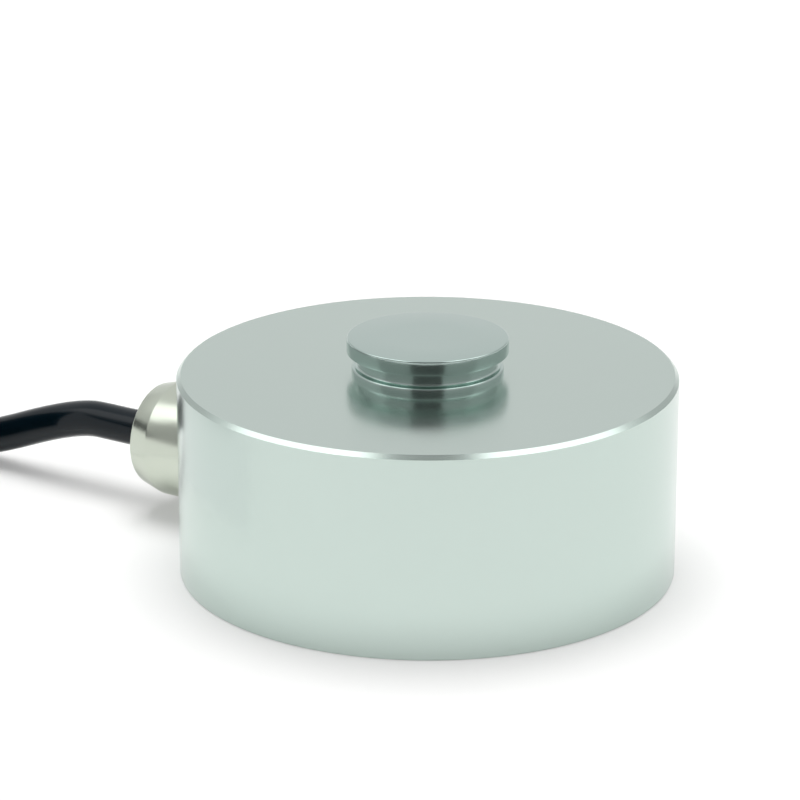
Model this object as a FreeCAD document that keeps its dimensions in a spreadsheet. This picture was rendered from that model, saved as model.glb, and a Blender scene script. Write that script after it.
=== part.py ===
import FreeCAD, Part
import math
import os
import re
import Sketcher
from FreeCAD import Placement, Rotation, Vector

# Button load cell: a turned steel body with a screwed-in load button on top, a gauge cavity
# closed from below, and a round cable gland in its wall.
# Millimetres, +Z up. The origin is the centre of the base face, and the cable leaves along -X.

# Driving sizes: name, value, what it is.
SIZES = (
    ("body_height", 28.1, "base face to top face"),
    ("boss_radius", 9.5, "loaded boss in the middle of the web"),
    ("web_width", 9.0, "sprung web, from the boss out to the wall"),
    ("board_ledge", 1.5, "width of the ledge that the terminal board is bonded to"),
    ("cover_ledge", 5.0, "width of the ledge that the base cover is screwed to"),
    ("rim_width", 9.0, "standing rim outside the cover's recess"),
    ("top_edge", 0.56, "chamfer round the top edge"),
    ("base_edge", 0.25, "chamfer round the base edge"),
    ("web_thickness", 6.5, "sprung web"),
    ("board_drop", 3.4, "web to the terminal board"),
    ("web_root", 1.0, "fillet where the web joins the wall and the boss"),
    ("boss_edge", 0.4, "small chamfers on the boss, its hole, the recess and the gland's ends"),
    ("boss_stop", 1.2, "overload gap between the boss and the base cover"),
    ("button_hole_spare", 1.0, "depth of the button's hole past its spigot"),
    ("thread_play", 0.05, "radial play in a screwed joint"),
    ("drill_half_angle", 59.0, "half angle of a drill point, degrees"),
    ("bolt_hole_radius", 2.1, "tapping radius of an M5 mounting hole"),
    ("bolt_hole_depth", 10.0, "full depth of a mounting hole"),
    ("bolt_count", 4.0, "mounting holes"),
    ("bolt_angle", 45.0, "angle of the first mounting hole, degrees"),
    ("cover_play", 0.15, "radial play of the base cover in its recess"),
    ("cover_thickness", 1.5, "base cover"),
    ("cover_inset", 0.5, "base cover above the base face"),
    ("cover_edge", 0.2, "chamfer on the base cover"),
    ("gasket_thickness", 0.5, "flat gasket above the base cover"),
    ("gasket_margin", 0.2, "edges of the cover and of its ledge left free by the gasket"),
    ("screw_radius", 0.98, "M2 cover screw"),
    ("screw_head_radius", 1.9, "countersunk head of a cover screw"),
    ("screw_length", 6.0, "cover screw with its head"),
    ("screw_tip", 0.3, "chamfer at a screw's tip"),
    ("screw_play", 0.1, "radial play round a cover screw"),
    ("screw_count", 6.0, "cover screws"),
    ("screw_angle", 30.0, "angle of the first cover screw, degrees"),
    ("socket_flats", 1.3, "hexagon socket of a cover screw, across flats"),
    ("socket_depth", 0.7, "hexagon socket of a cover screw"),
    ("head_radius", 10.97, "head of the load button"),
    ("head_lift", 2.84, "top face to the underside of the head"),
    ("head_thickness", 2.09, "head of the load button"),
    ("head_edge", 0.26, "chamfer round the top of the head"),
    ("head_under_edge", 0.14, "chamfer round the underside of the head"),
    ("neck_cut", 1.47, "neck of the load button, in from its head"),
    ("neck_root", 0.35, "fillet at both ends of the neck"),
    ("collar_step", 0.67, "seating collar of the load button, in from its head"),
    ("collar_height", 0.9, "seating collar of the load button"),
    ("collar_edge", 0.35, "chamfer round the collar"),
    ("spigot_radius", 5.95, "M12 spigot of the load button"),
    ("spigot_length", 12.0, "spigot of the load button"),
    ("spigot_edge", 0.8, "chamfer at the spigot's end"),
    ("gland_lift", 0.55, "gland's axis above the middle of the cavity, between cover and board"),
    ("spot_depth", 0.18, "spot face past the point where it meets the wall"),
    ("spot_play", 0.15, "spot face round the gland's flange"),
    ("flange_width", 2.5, "gland flange, out from the spigot in the wall"),
    ("gland_spigot_length", 8.8, "gland spigot in the wall"),
    ("flange_thickness", 1.8, "gland flange"),
    ("flange_edge", 0.15, "chamfers where the flange and the cap meet"),
    ("cap_gap", 0.1, "flange to cap"),
    ("seal_wall", 2.0, "pocket of the cable seal, out from the cable"),
    ("thread_wall", 1.8, "wall between the seal's pocket and the front thread"),
    ("cap_wall", 1.8, "wall of the gland cap over the front thread"),
    ("gland_thread_length", 6.2, "front thread of the gland"),
    ("oring_width", 1.25, "sealing ring, pressed flat"),
    ("oring_height", 0.95, "sealing ring, pressed flat"),
    ("oring_corner", 0.3, "soft corners of the sealing ring"),
    ("oring_groove_play", 0.05, "groove beside the sealing ring"),
    ("seal_pocket_depth", 5.6, "pocket of the cable seal"),
    ("seal_proud", 0.6, "how far the seal stands out of its pocket"),
    ("seal_taper", 0.9, "chamfer at the outer end of the cable seal"),
    ("seal_play", 0.03, "play round the cable seal"),
    ("clamp_ring_thickness", 0.8, "pressure ring between seal and cap"),
    ("clamp_ring_play", 0.35, "pressure ring in the cap's bore"),
    ("cap_length", 10.7, "gland cap"),
    ("nose_length", 3.4, "tapered nose of the gland cap"),
    ("nose_drop", 0.94, "how far the nose tapers in"),
    ("nose_round", 0.45, "rounded rim of the nose"),
    ("mouth_play", 0.55, "gland cap's mouth round the cable"),
    ("mouth_flare", 1.0, "bell mouth of the gland cap"),
    ("cable_radius", 2.6, "sheathed cable"),
    ("bore_play", 0.15, "gland bore round the cable"),
    ("inlet_setback", 1.0, "inner end of the sheath, back from the cavity"),
    ("exit_inset", 1.0, "where the free cable starts, inside the gland's mouth"),
    ("core_radius", 0.6, "insulated core of the cable"),
    ("core_spread", 0.75, "offset of a core in the sheath, each way"),
    ("core_straight", 1.4, "a core's straight start out of the sheath"),
    ("joint_border", 3.1, "outer row of solder joints, in from the board's rim"),
    ("joint_pitch", 2.6, "inner row of solder joints, in from the outer row"),
    ("joint_side", 1.6, "solder joints either side of the middle"),
    ("joint_height", 1.0, "solder joint"),
    ("joint_base_radius", 0.95, "solder joint at the board"),
    ("joint_tip_radius", 0.65, "solder joint at the core"),
    ("board_thickness", 1.0, "terminal board"),
    ("board_play", 0.1, "radial play of the terminal board"),
    ("board_hole_play", 1.5, "hole of the terminal board round the boss"),
    ("resistor_length", 3.2, "trimming resistor"),
    ("resistor_width", 1.6, "trimming resistor"),
    ("resistor_height", 0.55, "trimming resistor"),
    ("resistor_cap", 0.5, "end cap of a trimming resistor"),
    ("resistor_cap_proud", 0.04, "end cap over the ceramic"),
    ("gauge_margin", 0.4, "carrier film of a strain gauge, back from the web's fillets"),
    ("gauge_width", 4.0, "carrier film of a strain gauge"),
    ("gauge_film", 0.1, "thickness of the carrier film and its adhesive"),
    ("gauge_angle", 45.0, "angle of the first strain gauge, degrees"),
    ("grid_foil", 0.05, "thickness of the measuring grid"),
    ("film_border", 0.55, "carrier film past the grid and the solder tabs"),
    ("grid_end", 0.4, "end loop of the measuring grid"),
    ("grid_track", 0.26, "track of the measuring grid"),
    ("grid_pitch", 0.5, "track to track"),
    ("tab_gap", 0.25, "end loop to solder tab"),
    ("tab_size", 1.05, "solder tab"),
    ("lead_radius", 0.2, "wire from a solder tab to the board"),
    ("cable_run_out", 15.6, "cable, straight out of the gland"),
    ("cable_run_down", 19.0, "cable, along its slope down to the floor"),
    ("cable_run_floor", 7.5, "cable, along the floor to the coil's lead-in"),
    ("coil_lead_in", 19.6, "straight start of the coil's outermost turn"),
    ("coil_inner_turn", 21.2, "innermost turn of the coil, at the cable's middle"),
    ("sleeve_wall", 0.5, "shrink sleeve on the cable's loose end"),
    ("sleeve_length", 7.0, "shrink sleeve on the cable's loose end"),
    ("core_clearance", 0.3, "loose cores over the coil"),
    ("tip_radius", 0.42, "tinned end of a core"),
    ("tip_length", 4.0, "tinned end of a core"),
)

# Bearings of the strain gauges and resistors are counted round the axis.
GAUGES = 4
RESISTOR_ANGLES = (60.0, 120.0, 240.0, 300.0)
GRID_STRIPS = 6
CORE_COLOURS = ("red", "black", "green", "white")

# Cable put away in a round coil: turns side by side and in layers, a diameter apart.
COIL_TURNS_ACROSS = 4
COIL_LAYERS = 5
RIM_SHARE = 0.98

# The cable's way out of the coil: angle about its axis, then diameters out from the innermost
# turn and up from the coil's top. The coil's solid takes the first of these and the loose end the rest.
TAIL_ROUTE = (
    (56, 0.0, -0.5),
    (90, 0.0, -0.2),
    (124, 0.22, 0.35),
    (156, 0.7, 0.66),
    (186, 1.1, 0.66),
    (216, 1.15, 0.66),
    (246, 0.85, 0.66),
)
CLIMB_POINTS = 4

# How far each loose core fans out to the side and reaches, in cable diameters.
TAIL_FANS = ((-0.88, 3.0), (1.7, 3.2), (-0.04, 3.4), (0.85, 2.9))

# Levels and stations that several pieces share, as expressions of the driving sizes.
UPPER_CAVITY = "(boss_radius + web_width)"
CAVITY = f"({UPPER_CAVITY} + board_ledge)"
RECESS = f"({CAVITY} + cover_ledge)"
WALL = f"({RECESS} + rim_width)"
COVER = f"({RECESS} - cover_play)"
SCREW_CIRCLE = f"({CAVITY} + cover_ledge / 2)"
BOLT_CIRCLE = f"({RECESS} + rim_width / 2)"
LEDGE = "(cover_inset + cover_thickness + gasket_thickness)"
WEB = "(body_height - web_thickness)"
BOARD_TOP = f"({WEB} - board_drop)"
BOARD_BASE = f"({BOARD_TOP} - board_thickness)"
BOARD_INNER = "(boss_radius + board_hole_play)"
BOARD_OUTER = f"({CAVITY} - board_play)"
JOINT_FAR = f"({BOARD_OUTER} - joint_border)"
JOINT_NEAR = f"({JOINT_FAR} - joint_pitch)"
RESISTOR_CIRCLE = f"(({BOARD_INNER} + {BOARD_OUTER}) / 2)"
GAUGE_CIRCLE = "(boss_radius + web_width / 2)"
GAUGE_LENGTH = "(web_width - 2 * web_root - 2 * gauge_margin)"
GRID_LENGTH = f"({GAUGE_LENGTH} - 2 * film_border - 2 * grid_end - tab_gap - tab_size)"
GRID_SHIFT = "((tab_gap + tab_size) / 2)"
BOSS_BASE = "(cover_inset + cover_thickness + boss_stop)"
BUTTON_HOLE = "(spigot_radius + thread_play)"
BUTTON_HOLE_FLOOR = "(body_height - spigot_length - button_hole_spare)"
NECK = "(head_radius - neck_cut)"
COLLAR = "(head_radius - collar_step)"
HEAD_BASE = "(body_height + head_lift)"
HEAD_TOP = f"({HEAD_BASE} + head_thickness)"
GLAND_HEIGHT = f"(({LEDGE} + {BOARD_BASE}) / 2 + gland_lift)"
SEAL_POCKET = "(cable_radius + seal_wall)"
GLAND_THREAD = f"({SEAL_POCKET} + thread_wall)"
CAP_BORE = f"({GLAND_THREAD} + thread_play)"
GLAND = f"({CAP_BORE} + cap_wall)"
GLAND_SPIGOT = f"({GLAND} - flange_width)"
ORING_CIRCLE = f"({GLAND} - flange_width / 2)"
PORT = f"({GLAND_SPIGOT} + thread_play)"
SEAT = f"(sqrt({WALL} * {WALL} - {GLAND} * {GLAND}) - spot_depth)"
FLANGE_END = f"({SEAT} + flange_thickness)"
CAP_START = f"({FLANGE_END} + cap_gap)"
CAP_END = f"({CAP_START} + cap_length)"
THREAD_END = f"({FLANGE_END} + gland_thread_length)"
POCKET_FLOOR = f"({THREAD_END} - seal_pocket_depth)"
SEAL_END = f"({THREAD_END} + seal_proud)"
RING_END = f"({SEAL_END} + clamp_ring_thickness)"
CABLE_START = f"({CAP_END} - exit_inset)"
INLET_END = f"({CAVITY} + inlet_setback)"

doc = FreeCAD.newDocument("button_load_cell")
sheet = doc.addObject("Spreadsheet::Sheet", "Sizes")
NAMES = {name for name, value, note in SIZES}
parts = []


def fill_sheet():
    """Write each driving size in its own cell, under its own name."""
    for row, (name, value, note) in enumerate(SIZES, start=1):
        sheet.set(f"A{row}", name)
        sheet.set(f"B{row}", str(value))
        sheet.set(f"C{row}", note)
        sheet.setAlias(f"B{row}", name)
    doc.recompute()


def bound(text):
    """Give an expression of size names the sheet's name before each of them."""
    return re.sub(r"[a-z_]+", lambda word: f"Sizes.{word[0]}" if word[0] in NAMES else word[0], text)


def value(text):
    """The present value of an expression of size names."""
    return float(sheet.evalExpression(bound(text)))


def bind(thing, **links):
    """Tie properties of an object to expressions of size names; two underscores stand for a dot."""
    for prop, text in links.items():
        thing.setExpression(prop.replace("__", "."), bound(text))


def keep(thing, label):
    """Label an object as a sub-part of its own and list it for writing."""
    thing.Label = label
    parts.append(thing)
    return thing


def new_body(label):
    return keep(doc.addObject("PartDesign::Body", label), label)


def origin_item(body, role):
    """One of the body's own origin planes or axes."""
    return next(item for item in body.Origin.OriginFeatures if item.Role == role)


def new_sketch(body, name, role="XZ_Plane", lift=None):
    """A sketch on one of the body's origin planes, lifted along its normal if asked."""
    sketch = body.newObject("Sketcher::SketchObject", name)
    sketch.AttachmentSupport = [(origin_item(body, role), "")]
    sketch.MapMode = "FlatFace"
    if lift is not None:
        bind(sketch, AttachmentOffset__Base__z=lift)
    return sketch


def pin_point(sketch, item, end, across, along):
    """Hold a point of the sketch at two expressions, measured from its origin."""
    for text, kind, axis in ((across, "DistanceX", -2), (along, "DistanceY", -1)):
        if text == "0":
            sketch.addConstraint(Sketcher.Constraint("PointOnObject", item, end, axis))
        else:
            row = sketch.addConstraint(Sketcher.Constraint(kind, -1, 1, item, end, value(text)))
            bind(sketch, **{f"Constraints[{row}]": text})


def draw_outline(sketch, corners):
    """A closed outline of straight lines with each corner held by two expressions."""
    first = sketch.GeometryCount
    places = [Vector(value(across), value(along), 0) for across, along in corners]
    count = len(places)
    for row in range(count):
        sketch.addGeometry(Part.LineSegment(places[row], places[(row + 1) % count]), False)
    for row in range(count):
        after = first + (row + 1) % count
        sketch.addConstraint(Sketcher.Constraint("Coincident", first + row, 2, after, 1))
    for row, (across, along) in enumerate(corners):
        pin_point(sketch, first + row, 1, across, along)


def draw_circle(sketch, across, along, radius):
    """A circle with its centre and radius held by expressions."""
    middle = Vector(value(across), value(along), 0)
    item = sketch.addGeometry(Part.Circle(middle, Vector(0, 0, 1), value(radius)), False)
    pin_point(sketch, item, 3, across, along)
    row = sketch.addConstraint(Sketcher.Constraint("Radius", item, value(radius)))
    bind(sketch, **{f"Constraints[{row}]": radius})


def turn(body, name, corners, kind="PartDesign::Revolution", offset=None):
    """Turn an outline of (radius, height) corners, about Z or about a line at the given offset."""
    sketch = new_sketch(body, f"{name}_outline")
    if offset is None:
        draw_outline(sketch, corners)
        axis = "V_Axis"
    else:
        draw_outline(sketch, [(f"({offset}) + {radius}", height) for radius, height in corners])
        low, high = Vector(value(offset), 0, 0), Vector(value(offset), 1, 0)
        line = sketch.addGeometry(Part.LineSegment(low, high), True)
        pin_point(sketch, line, 1, offset, "0")
        sketch.addConstraint(Sketcher.Constraint("Vertical", line))
        sketch.addConstraint(Sketcher.Constraint("DistanceY", line, 1, line, 2, 1.0))
        axis = "Axis0"
    feature = body.newObject(kind, name)
    feature.Profile = sketch
    feature.ReferenceAxis = (sketch, [axis])
    feature.Angle = 360
    doc.recompute()
    return feature


def extrude(body, name, sketch, length=None, kind="PartDesign::Pad", flip=False):
    """Pad or pocket a sketch by a bound length, or right through without one."""
    feature = body.newObject(kind, name)
    feature.Profile = sketch
    feature.Reversed = flip
    if length is None:
        feature.Type = "ThroughAll"
    else:
        bind(feature, Length=length)
    doc.recompute()
    return feature


def repeat_round(body, name, features, count):
    """Repeat features of a body round its Z axis."""
    pattern = body.newObject("PartDesign::PolarPattern", name)
    pattern.Originals = features
    pattern.Axis = (origin_item(body, "Z_Axis"), [""])
    pattern.Angle = 360
    bind(pattern, Occurrences=count)
    body.Tip = pattern
    doc.recompute()
    return pattern


def round_edges(body, name, base, wanted, radius):
    """Fillet the circular edges of a feature that are centred on Z with the wanted radii and heights."""
    names = []
    for row, edge in enumerate(base.Shape.Edges, start=1):
        curve = edge.Curve
        if not isinstance(curve, Part.Circle) or math.hypot(curve.Center.x, curve.Center.y) > 1e-6:
            continue
        for around, level in wanted:
            if abs(curve.Radius - value(around)) < 1e-4 and abs(curve.Center.z - value(level)) < 1e-4:
                names.append(f"Edge{row}")
    fillet = body.newObject("PartDesign::Fillet", name)
    fillet.Base = (base, names)
    bind(fillet, Radius=radius)
    doc.recompute()
    return fillet


def lay_along_cable(body):
    """Lay a piece modelled about Z on the gland's axis, its Z pointing out along the cable."""
    body.Placement = Placement(Vector(), Rotation(Vector(0, 1, 0), -90))
    bind(body, Placement__Base__z=GLAND_HEIGHT)


def drill(body, name, circle, angle, level, radius, depth, count):
    """Drill blind holes with a drill point, upwards from a level, evenly round the Z axis."""
    tool = new_sketch(body, f"{name}_place", "XY_Plane", level)
    draw_circle(tool, f"{circle} * cos({angle})", f"{circle} * sin({angle})", radius)
    hole = body.newObject("PartDesign::Hole", name)
    hole.Profile = tool
    doc.recompute()
    hole.Reversed = True
    hole.DepthType = "Dimension"
    hole.DrillPoint = "Angled"
    bind(hole, Diameter=f"2 * {radius}", Depth=depth, DrillPointAngle="2 * drill_half_angle")
    doc.recompute()
    return repeat_round(body, f"{name}_circle", [hole], count)


def make_elastic_body():
    """The sprung body, turned from one bar: wall, web, loaded boss, cover recess and holes."""
    body = new_body("elastic_body")
    cone = f"({BUTTON_HOLE_FLOOR} - {BUTTON_HOLE} / tan(drill_half_angle))"
    blank = turn(body, "turned_blank", (
        ("0", BOSS_BASE),
        ("boss_radius - boss_edge", BOSS_BASE),
        ("boss_radius", f"{BOSS_BASE} + boss_edge"),
        ("boss_radius", WEB),
        (UPPER_CAVITY, WEB),
        (UPPER_CAVITY, BOARD_TOP),
        (CAVITY, BOARD_TOP),
        (CAVITY, LEDGE),
        (RECESS, LEDGE),
        (RECESS, "boss_edge"),
        (f"{RECESS} + boss_edge", "0"),
        (f"{WALL} - base_edge", "0"),
        (WALL, "base_edge"),
        (WALL, "body_height - top_edge"),
        (f"{WALL} - top_edge", "body_height"),
        (f"{BUTTON_HOLE} + boss_edge", "body_height"),
        (BUTTON_HOLE, "body_height - boss_edge"),
        (BUTTON_HOLE, BUTTON_HOLE_FLOOR),
        ("0", cone),
    ))
    roots = (("boss_radius", WEB), (UPPER_CAVITY, WEB))
    round_edges(body, "web_roots", blank, roots, "web_root")
    drill(body, "bolt_hole", BOLT_CIRCLE, "bolt_angle", "0",
          "bolt_hole_radius", "bolt_hole_depth", "bolt_count")
    thread_depth = "screw_length - cover_thickness - gasket_thickness + screw_tip"
    drill(body, "screw_hole", SCREW_CIRCLE, "screw_angle", LEDGE,
          "(screw_radius + thread_play / 2)", thread_depth, "screw_count")
    port = new_sketch(body, "port_place", "YZ_Plane", f"-{GAUGE_CIRCLE}")
    draw_circle(port, "0", GLAND_HEIGHT, PORT)
    extrude(body, "port", port, kind="PartDesign::Pocket")
    spot = new_sketch(body, "spot_place", "YZ_Plane", f"-{SEAT}")
    draw_circle(spot, "0", GLAND_HEIGHT, f"{GLAND} + spot_play")
    extrude(body, "spot_face", spot, kind="PartDesign::Pocket")


def make_load_button():
    """The hardened button: spigot, seating collar, undercut neck and flat head."""
    body = new_body("load_button")
    collar_top = "(body_height + collar_height)"
    blank = turn(body, "button", (
        ("0", "body_height - spigot_length"),
        ("spigot_radius - spigot_edge", "body_height - spigot_length"),
        ("spigot_radius", "body_height - spigot_length + spigot_edge"),
        ("spigot_radius", "body_height"),
        (COLLAR, "body_height"),
        (COLLAR, f"{collar_top} - collar_edge"),
        (f"{COLLAR} - collar_edge", collar_top),
        (NECK, collar_top),
        (NECK, HEAD_BASE),
        ("head_radius - head_under_edge", HEAD_BASE),
        ("head_radius", f"{HEAD_BASE} + head_under_edge"),
        ("head_radius", f"{HEAD_TOP} - head_edge"),
        ("head_radius - head_edge", HEAD_TOP),
        ("0", HEAD_TOP),
    ))
    ends = ((NECK, collar_top), (NECK, HEAD_BASE))
    round_edges(body, "neck_roots", blank, ends, "neck_root")


def screw_outline(play):
    """Corners of a countersunk screw, or of its hole with some play, from the cover's face up."""
    shank = f"(screw_radius + {play})"
    head = f"(screw_head_radius + {play})"
    rim = f"(cover_inset + {play})"
    return shank, head, rim


def make_base_cover():
    """The flat steel cover under the cavity, with its countersunk screw holes."""
    body = new_body("base_cover")
    top = "(cover_inset + cover_thickness)"
    turn(body, "disc", (
        ("0", "cover_inset"),
        (f"{COVER} - cover_edge", "cover_inset"),
        (COVER, "cover_inset + cover_edge"),
        (COVER, top),
        ("0", top),
    ))
    shank, head, rim = screw_outline("screw_play")
    below = "(cover_inset - cover_thickness)"
    hole = turn(body, "screw_hole", (
        ("0", below),
        (head, below),
        (head, rim),
        (shank, f"{rim} + {head} - {shank}"),
        (shank, f"{top} + cover_thickness"),
        ("0", f"{top} + cover_thickness"),
    ), kind="PartDesign::Groove", offset=SCREW_CIRCLE)
    repeat_round(body, "screw_holes", [hole], "screw_count")
    bind(body, Placement__Rotation__Angle="screw_angle")


def make_cover_gasket():
    """The flat rubber gasket between the cover and its ledge."""
    body = new_body("cover_gasket")
    outline = new_sketch(body, "gasket_outline", "XY_Plane", "cover_inset + cover_thickness")
    draw_circle(outline, "0", "0", f"{COVER} - gasket_margin")
    draw_circle(outline, "0", "0", f"{CAVITY} + gasket_margin")
    extrude(body, "ring", outline, "gasket_thickness")
    place = new_sketch(body, "hole_place", "XY_Plane", LEDGE)
    draw_circle(place, SCREW_CIRCLE, "0", "screw_radius + screw_play")
    hole = extrude(body, "screw_hole", place, kind="PartDesign::Pocket")
    repeat_round(body, "screw_holes", [hole], "screw_count")
    bind(body, Placement__Rotation__Angle="screw_angle")


def make_cover_screws():
    """Six countersunk screws with hexagon sockets, flush with the cover."""
    body = new_body("cover_screws")
    shank, head, rim = screw_outline("0")
    tip = "(cover_inset + screw_length)"
    screw = turn(body, "screw", (
        ("0", "cover_inset"),
        (head, "cover_inset"),
        (head, f"{rim} + screw_play"),
        (shank, f"{rim} + screw_play + {head} - {shank}"),
        (shank, f"{tip} - screw_tip"),
        (f"{shank} - screw_tip", tip),
        ("0", tip),
    ), offset=SCREW_CIRCLE)
    outline = new_sketch(body, "socket_outline", "XY_Plane", "cover_inset")
    corners = []
    for step in range(6):
        reach = f"socket_flats / 2 / cos(30) * cos({60 * step})"
        side = f"socket_flats / 2 / cos(30) * sin({60 * step})"
        corners.append((f"{SCREW_CIRCLE} + {reach}", "0" if step % 3 == 0 else side))
    draw_outline(outline, corners)
    socket = extrude(body, "socket", outline, "socket_depth", "PartDesign::Pocket", flip=True)
    repeat_round(body, "screws", [screw, socket], "screw_count")
    bind(body, Placement__Rotation__Angle="screw_angle")


def make_terminal_board():
    """The ring of circuit board, bonded by its rim to the ledge under the web."""
    body = new_body("terminal_board")
    outline = new_sketch(body, "board_outline", "XY_Plane", BOARD_BASE)
    draw_circle(outline, "0", "0", BOARD_OUTER)
    draw_circle(outline, "0", "0", BOARD_INNER)
    extrude(body, "board", outline, "board_thickness")


def make_trim_resistors():
    """Chip resistors that trim the bridge, on the underside of the board."""
    for number, angle in enumerate(RESISTOR_ANGLES, start=1):
        chip = doc.addObject("Part::Box", "chip")
        bind(chip, Length="resistor_length", Width="resistor_width", Height="resistor_height")
        caps = []
        for side in ("0", "resistor_length - resistor_cap"):
            cap = doc.addObject("Part::Box", "chip_cap")
            bind(cap, Length="resistor_cap", Width="resistor_width + 2 * resistor_cap_proud",
                 Height="resistor_height + resistor_cap_proud",
                 Placement__Base__x=side, Placement__Base__y="-resistor_cap_proud",
                 Placement__Base__z="-resistor_cap_proud")
            caps.append(cap)
        fuse = doc.addObject("Part::MultiFuse", "chip_with_caps")
        fuse.Shapes = [chip] + caps
        keep(fuse, f"trim_resistor_{number}")
        fuse.Placement = Placement(Vector(), Rotation(Vector(0, 0, 1), angle + 90))
        out = f"({RESISTOR_CIRCLE} + resistor_width / 2)"
        aside = "(resistor_length / 2)"
        bind(fuse,
             Placement__Base__x=f"{out} * cos({angle}) + {aside} * sin({angle})",
             Placement__Base__y=f"{out} * sin({angle}) - {aside} * cos({angle})",
             Placement__Base__z=f"{BOARD_BASE} - resistor_height")


def grid_corners():
    """Corners of the meander of a measuring grid with its two solder tabs, as expressions."""
    def low(strip):
        return f"(grid_pitch * {strip - (GRID_STRIPS - 1) / 2} - grid_track / 2)"

    def high(strip):
        return f"({low(strip)} + grid_track)"

    left = f"({GRID_SHIFT} - {GRID_LENGTH} / 2)"
    right = f"({GRID_SHIFT} + {GRID_LENGTH} / 2)"
    far_left = f"({left} - grid_end)"
    far_right = f"({right} + grid_end)"
    tab_right = f"({far_left} - tab_gap)"
    tab_left = f"({tab_right} - tab_size)"
    last = GRID_STRIPS - 1
    corners = [(tab_left, low(0))]
    for strip in range(0, GRID_STRIPS, 2):
        corners += [(far_right, low(strip)), (far_right, high(strip + 1))]
        if strip + 1 < last:
            corners += [(left, high(strip + 1)), (left, low(strip + 2))]
    corners += [(tab_left, high(last)), (tab_left, f"{high(last)} - tab_size")]
    corners += [(tab_right, f"{high(last)} - tab_size"), (tab_right, low(last))]
    for strip in range(last, 0, -2):
        corners += [(right, low(strip)), (right, high(strip - 1))]
        if strip - 1 > 0:
            corners += [(far_left, high(strip - 1)), (far_left, low(strip - 2))]
    corners += [(tab_right, high(0)), (tab_right, f"{low(0)} + tab_size")]
    corners += [(tab_left, f"{low(0)} + tab_size")]
    return corners


def make_strain_gauges():
    """Foil strain gauges bonded under the web, each a film with a raised measuring grid."""
    corners = grid_corners()
    for number in range(GAUGES):
        body = new_body(f"strain_gauge_{number + 1}")
        angle = f"(gauge_angle + {360 * number / GAUGES})"
        film = new_sketch(body, "film_outline", "XY_Plane")
        near, far = f"-{GAUGE_LENGTH} / 2", f"{GAUGE_LENGTH} / 2"
        low, high = "-gauge_width / 2", "gauge_width / 2"
        draw_outline(film, ((near, low), (far, low), (far, high), (near, high)))
        extrude(body, "film", film, "gauge_film", flip=True)
        grid = new_sketch(body, "grid_outline", "XY_Plane", "-gauge_film")
        draw_outline(grid, corners)
        extrude(body, "grid", grid, "grid_foil", flip=True)
        bind(body, Placement__Base__x=f"{GAUGE_CIRCLE} * cos({angle})",
             Placement__Base__y=f"{GAUGE_CIRCLE} * sin({angle})",
             Placement__Base__z=WEB,
             Placement__Rotation__Angle=angle)


def make_gauge_leads():
    """A short wire from each solder tab down to the terminal board."""
    tab = f"({GRID_SHIFT} - {GRID_LENGTH} / 2 - grid_end - tab_gap - tab_size / 2)"
    side = f"(grid_pitch * {(GRID_STRIPS - 1) / 2} + grid_track / 2 - tab_size / 2)"
    wires = []
    for number in range(GAUGES):
        angle = f"(gauge_angle + {360 * number / GAUGES})"
        for sign in ("-", ""):
            wire = doc.addObject("Part::Cylinder", "gauge_wire")
            reach = f"({GAUGE_CIRCLE} + {tab})"
            bind(wire, Radius="lead_radius", Height="board_drop - gauge_film - grid_foil",
                 Placement__Base__x=f"{reach} * cos({angle}) - ({sign}{side}) * sin({angle})",
                 Placement__Base__y=f"{reach} * sin({angle}) + ({sign}{side}) * cos({angle})",
                 Placement__Base__z=BOARD_TOP)
            wires.append(wire)
    group = doc.addObject("Part::Compound", "gauge_leads")
    group.Links = wires
    keep(group, "gauge_leads")


def core_rows():
    """For each core: colour, side (-1 or 1), level (-1 or 1) and the row of its solder joint."""
    rows = (JOINT_FAR, JOINT_FAR, JOINT_NEAR, JOINT_NEAR)
    for number, colour in enumerate(CORE_COLOURS):
        yield colour, 1 if number % 2 else -1, 1 if number < 2 else -1, rows[number]


def make_solder_joints():
    """The solder joints that hold the cable's cores to the board."""
    cones = []
    for colour, side, level, row in core_rows():
        cone = doc.addObject("Part::Cone", f"joint_{colour}")
        bind(cone, Radius1="joint_tip_radius", Radius2="joint_base_radius", Height="joint_height",
             Placement__Base__x=f"-{row}", Placement__Base__y=f"{side} * joint_side",
             Placement__Base__z=f"{BOARD_BASE} - joint_height")
        cones.append(cone)
    group = doc.addObject("Part::Compound", "solder_joints")
    group.Links = cones
    keep(group, "solder_joints")


def make_gland_body():
    """The gland's threaded body: spigot in the wall, flange with a ring groove, front thread."""
    body = new_body("gland_body")
    bore = "(cable_radius + bore_play)"
    half = "(oring_width / 2 + oring_groove_play)"
    turn(body, "gland", (
        (bore, f"{SEAT} - gland_spigot_length"),
        (f"{GLAND_SPIGOT} - boss_edge", f"{SEAT} - gland_spigot_length"),
        (GLAND_SPIGOT, f"{SEAT} - gland_spigot_length + boss_edge"),
        (GLAND_SPIGOT, SEAT),
        (f"{ORING_CIRCLE} - {half}", SEAT),
        (f"{ORING_CIRCLE} - {half}", f"{SEAT} + oring_height"),
        (f"{ORING_CIRCLE} + {half}", f"{SEAT} + oring_height"),
        (f"{ORING_CIRCLE} + {half}", SEAT),
        (GLAND, SEAT),
        (GLAND, f"{FLANGE_END} - flange_edge"),
        (f"{GLAND} - flange_edge", FLANGE_END),
        (GLAND_THREAD, FLANGE_END),
        (GLAND_THREAD, f"{THREAD_END} - boss_edge"),
        (f"{GLAND_THREAD} - boss_edge", THREAD_END),
        (SEAL_POCKET, THREAD_END),
        (SEAL_POCKET, POCKET_FLOOR),
        (bore, POCKET_FLOOR),
    ))
    lay_along_cable(body)


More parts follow.
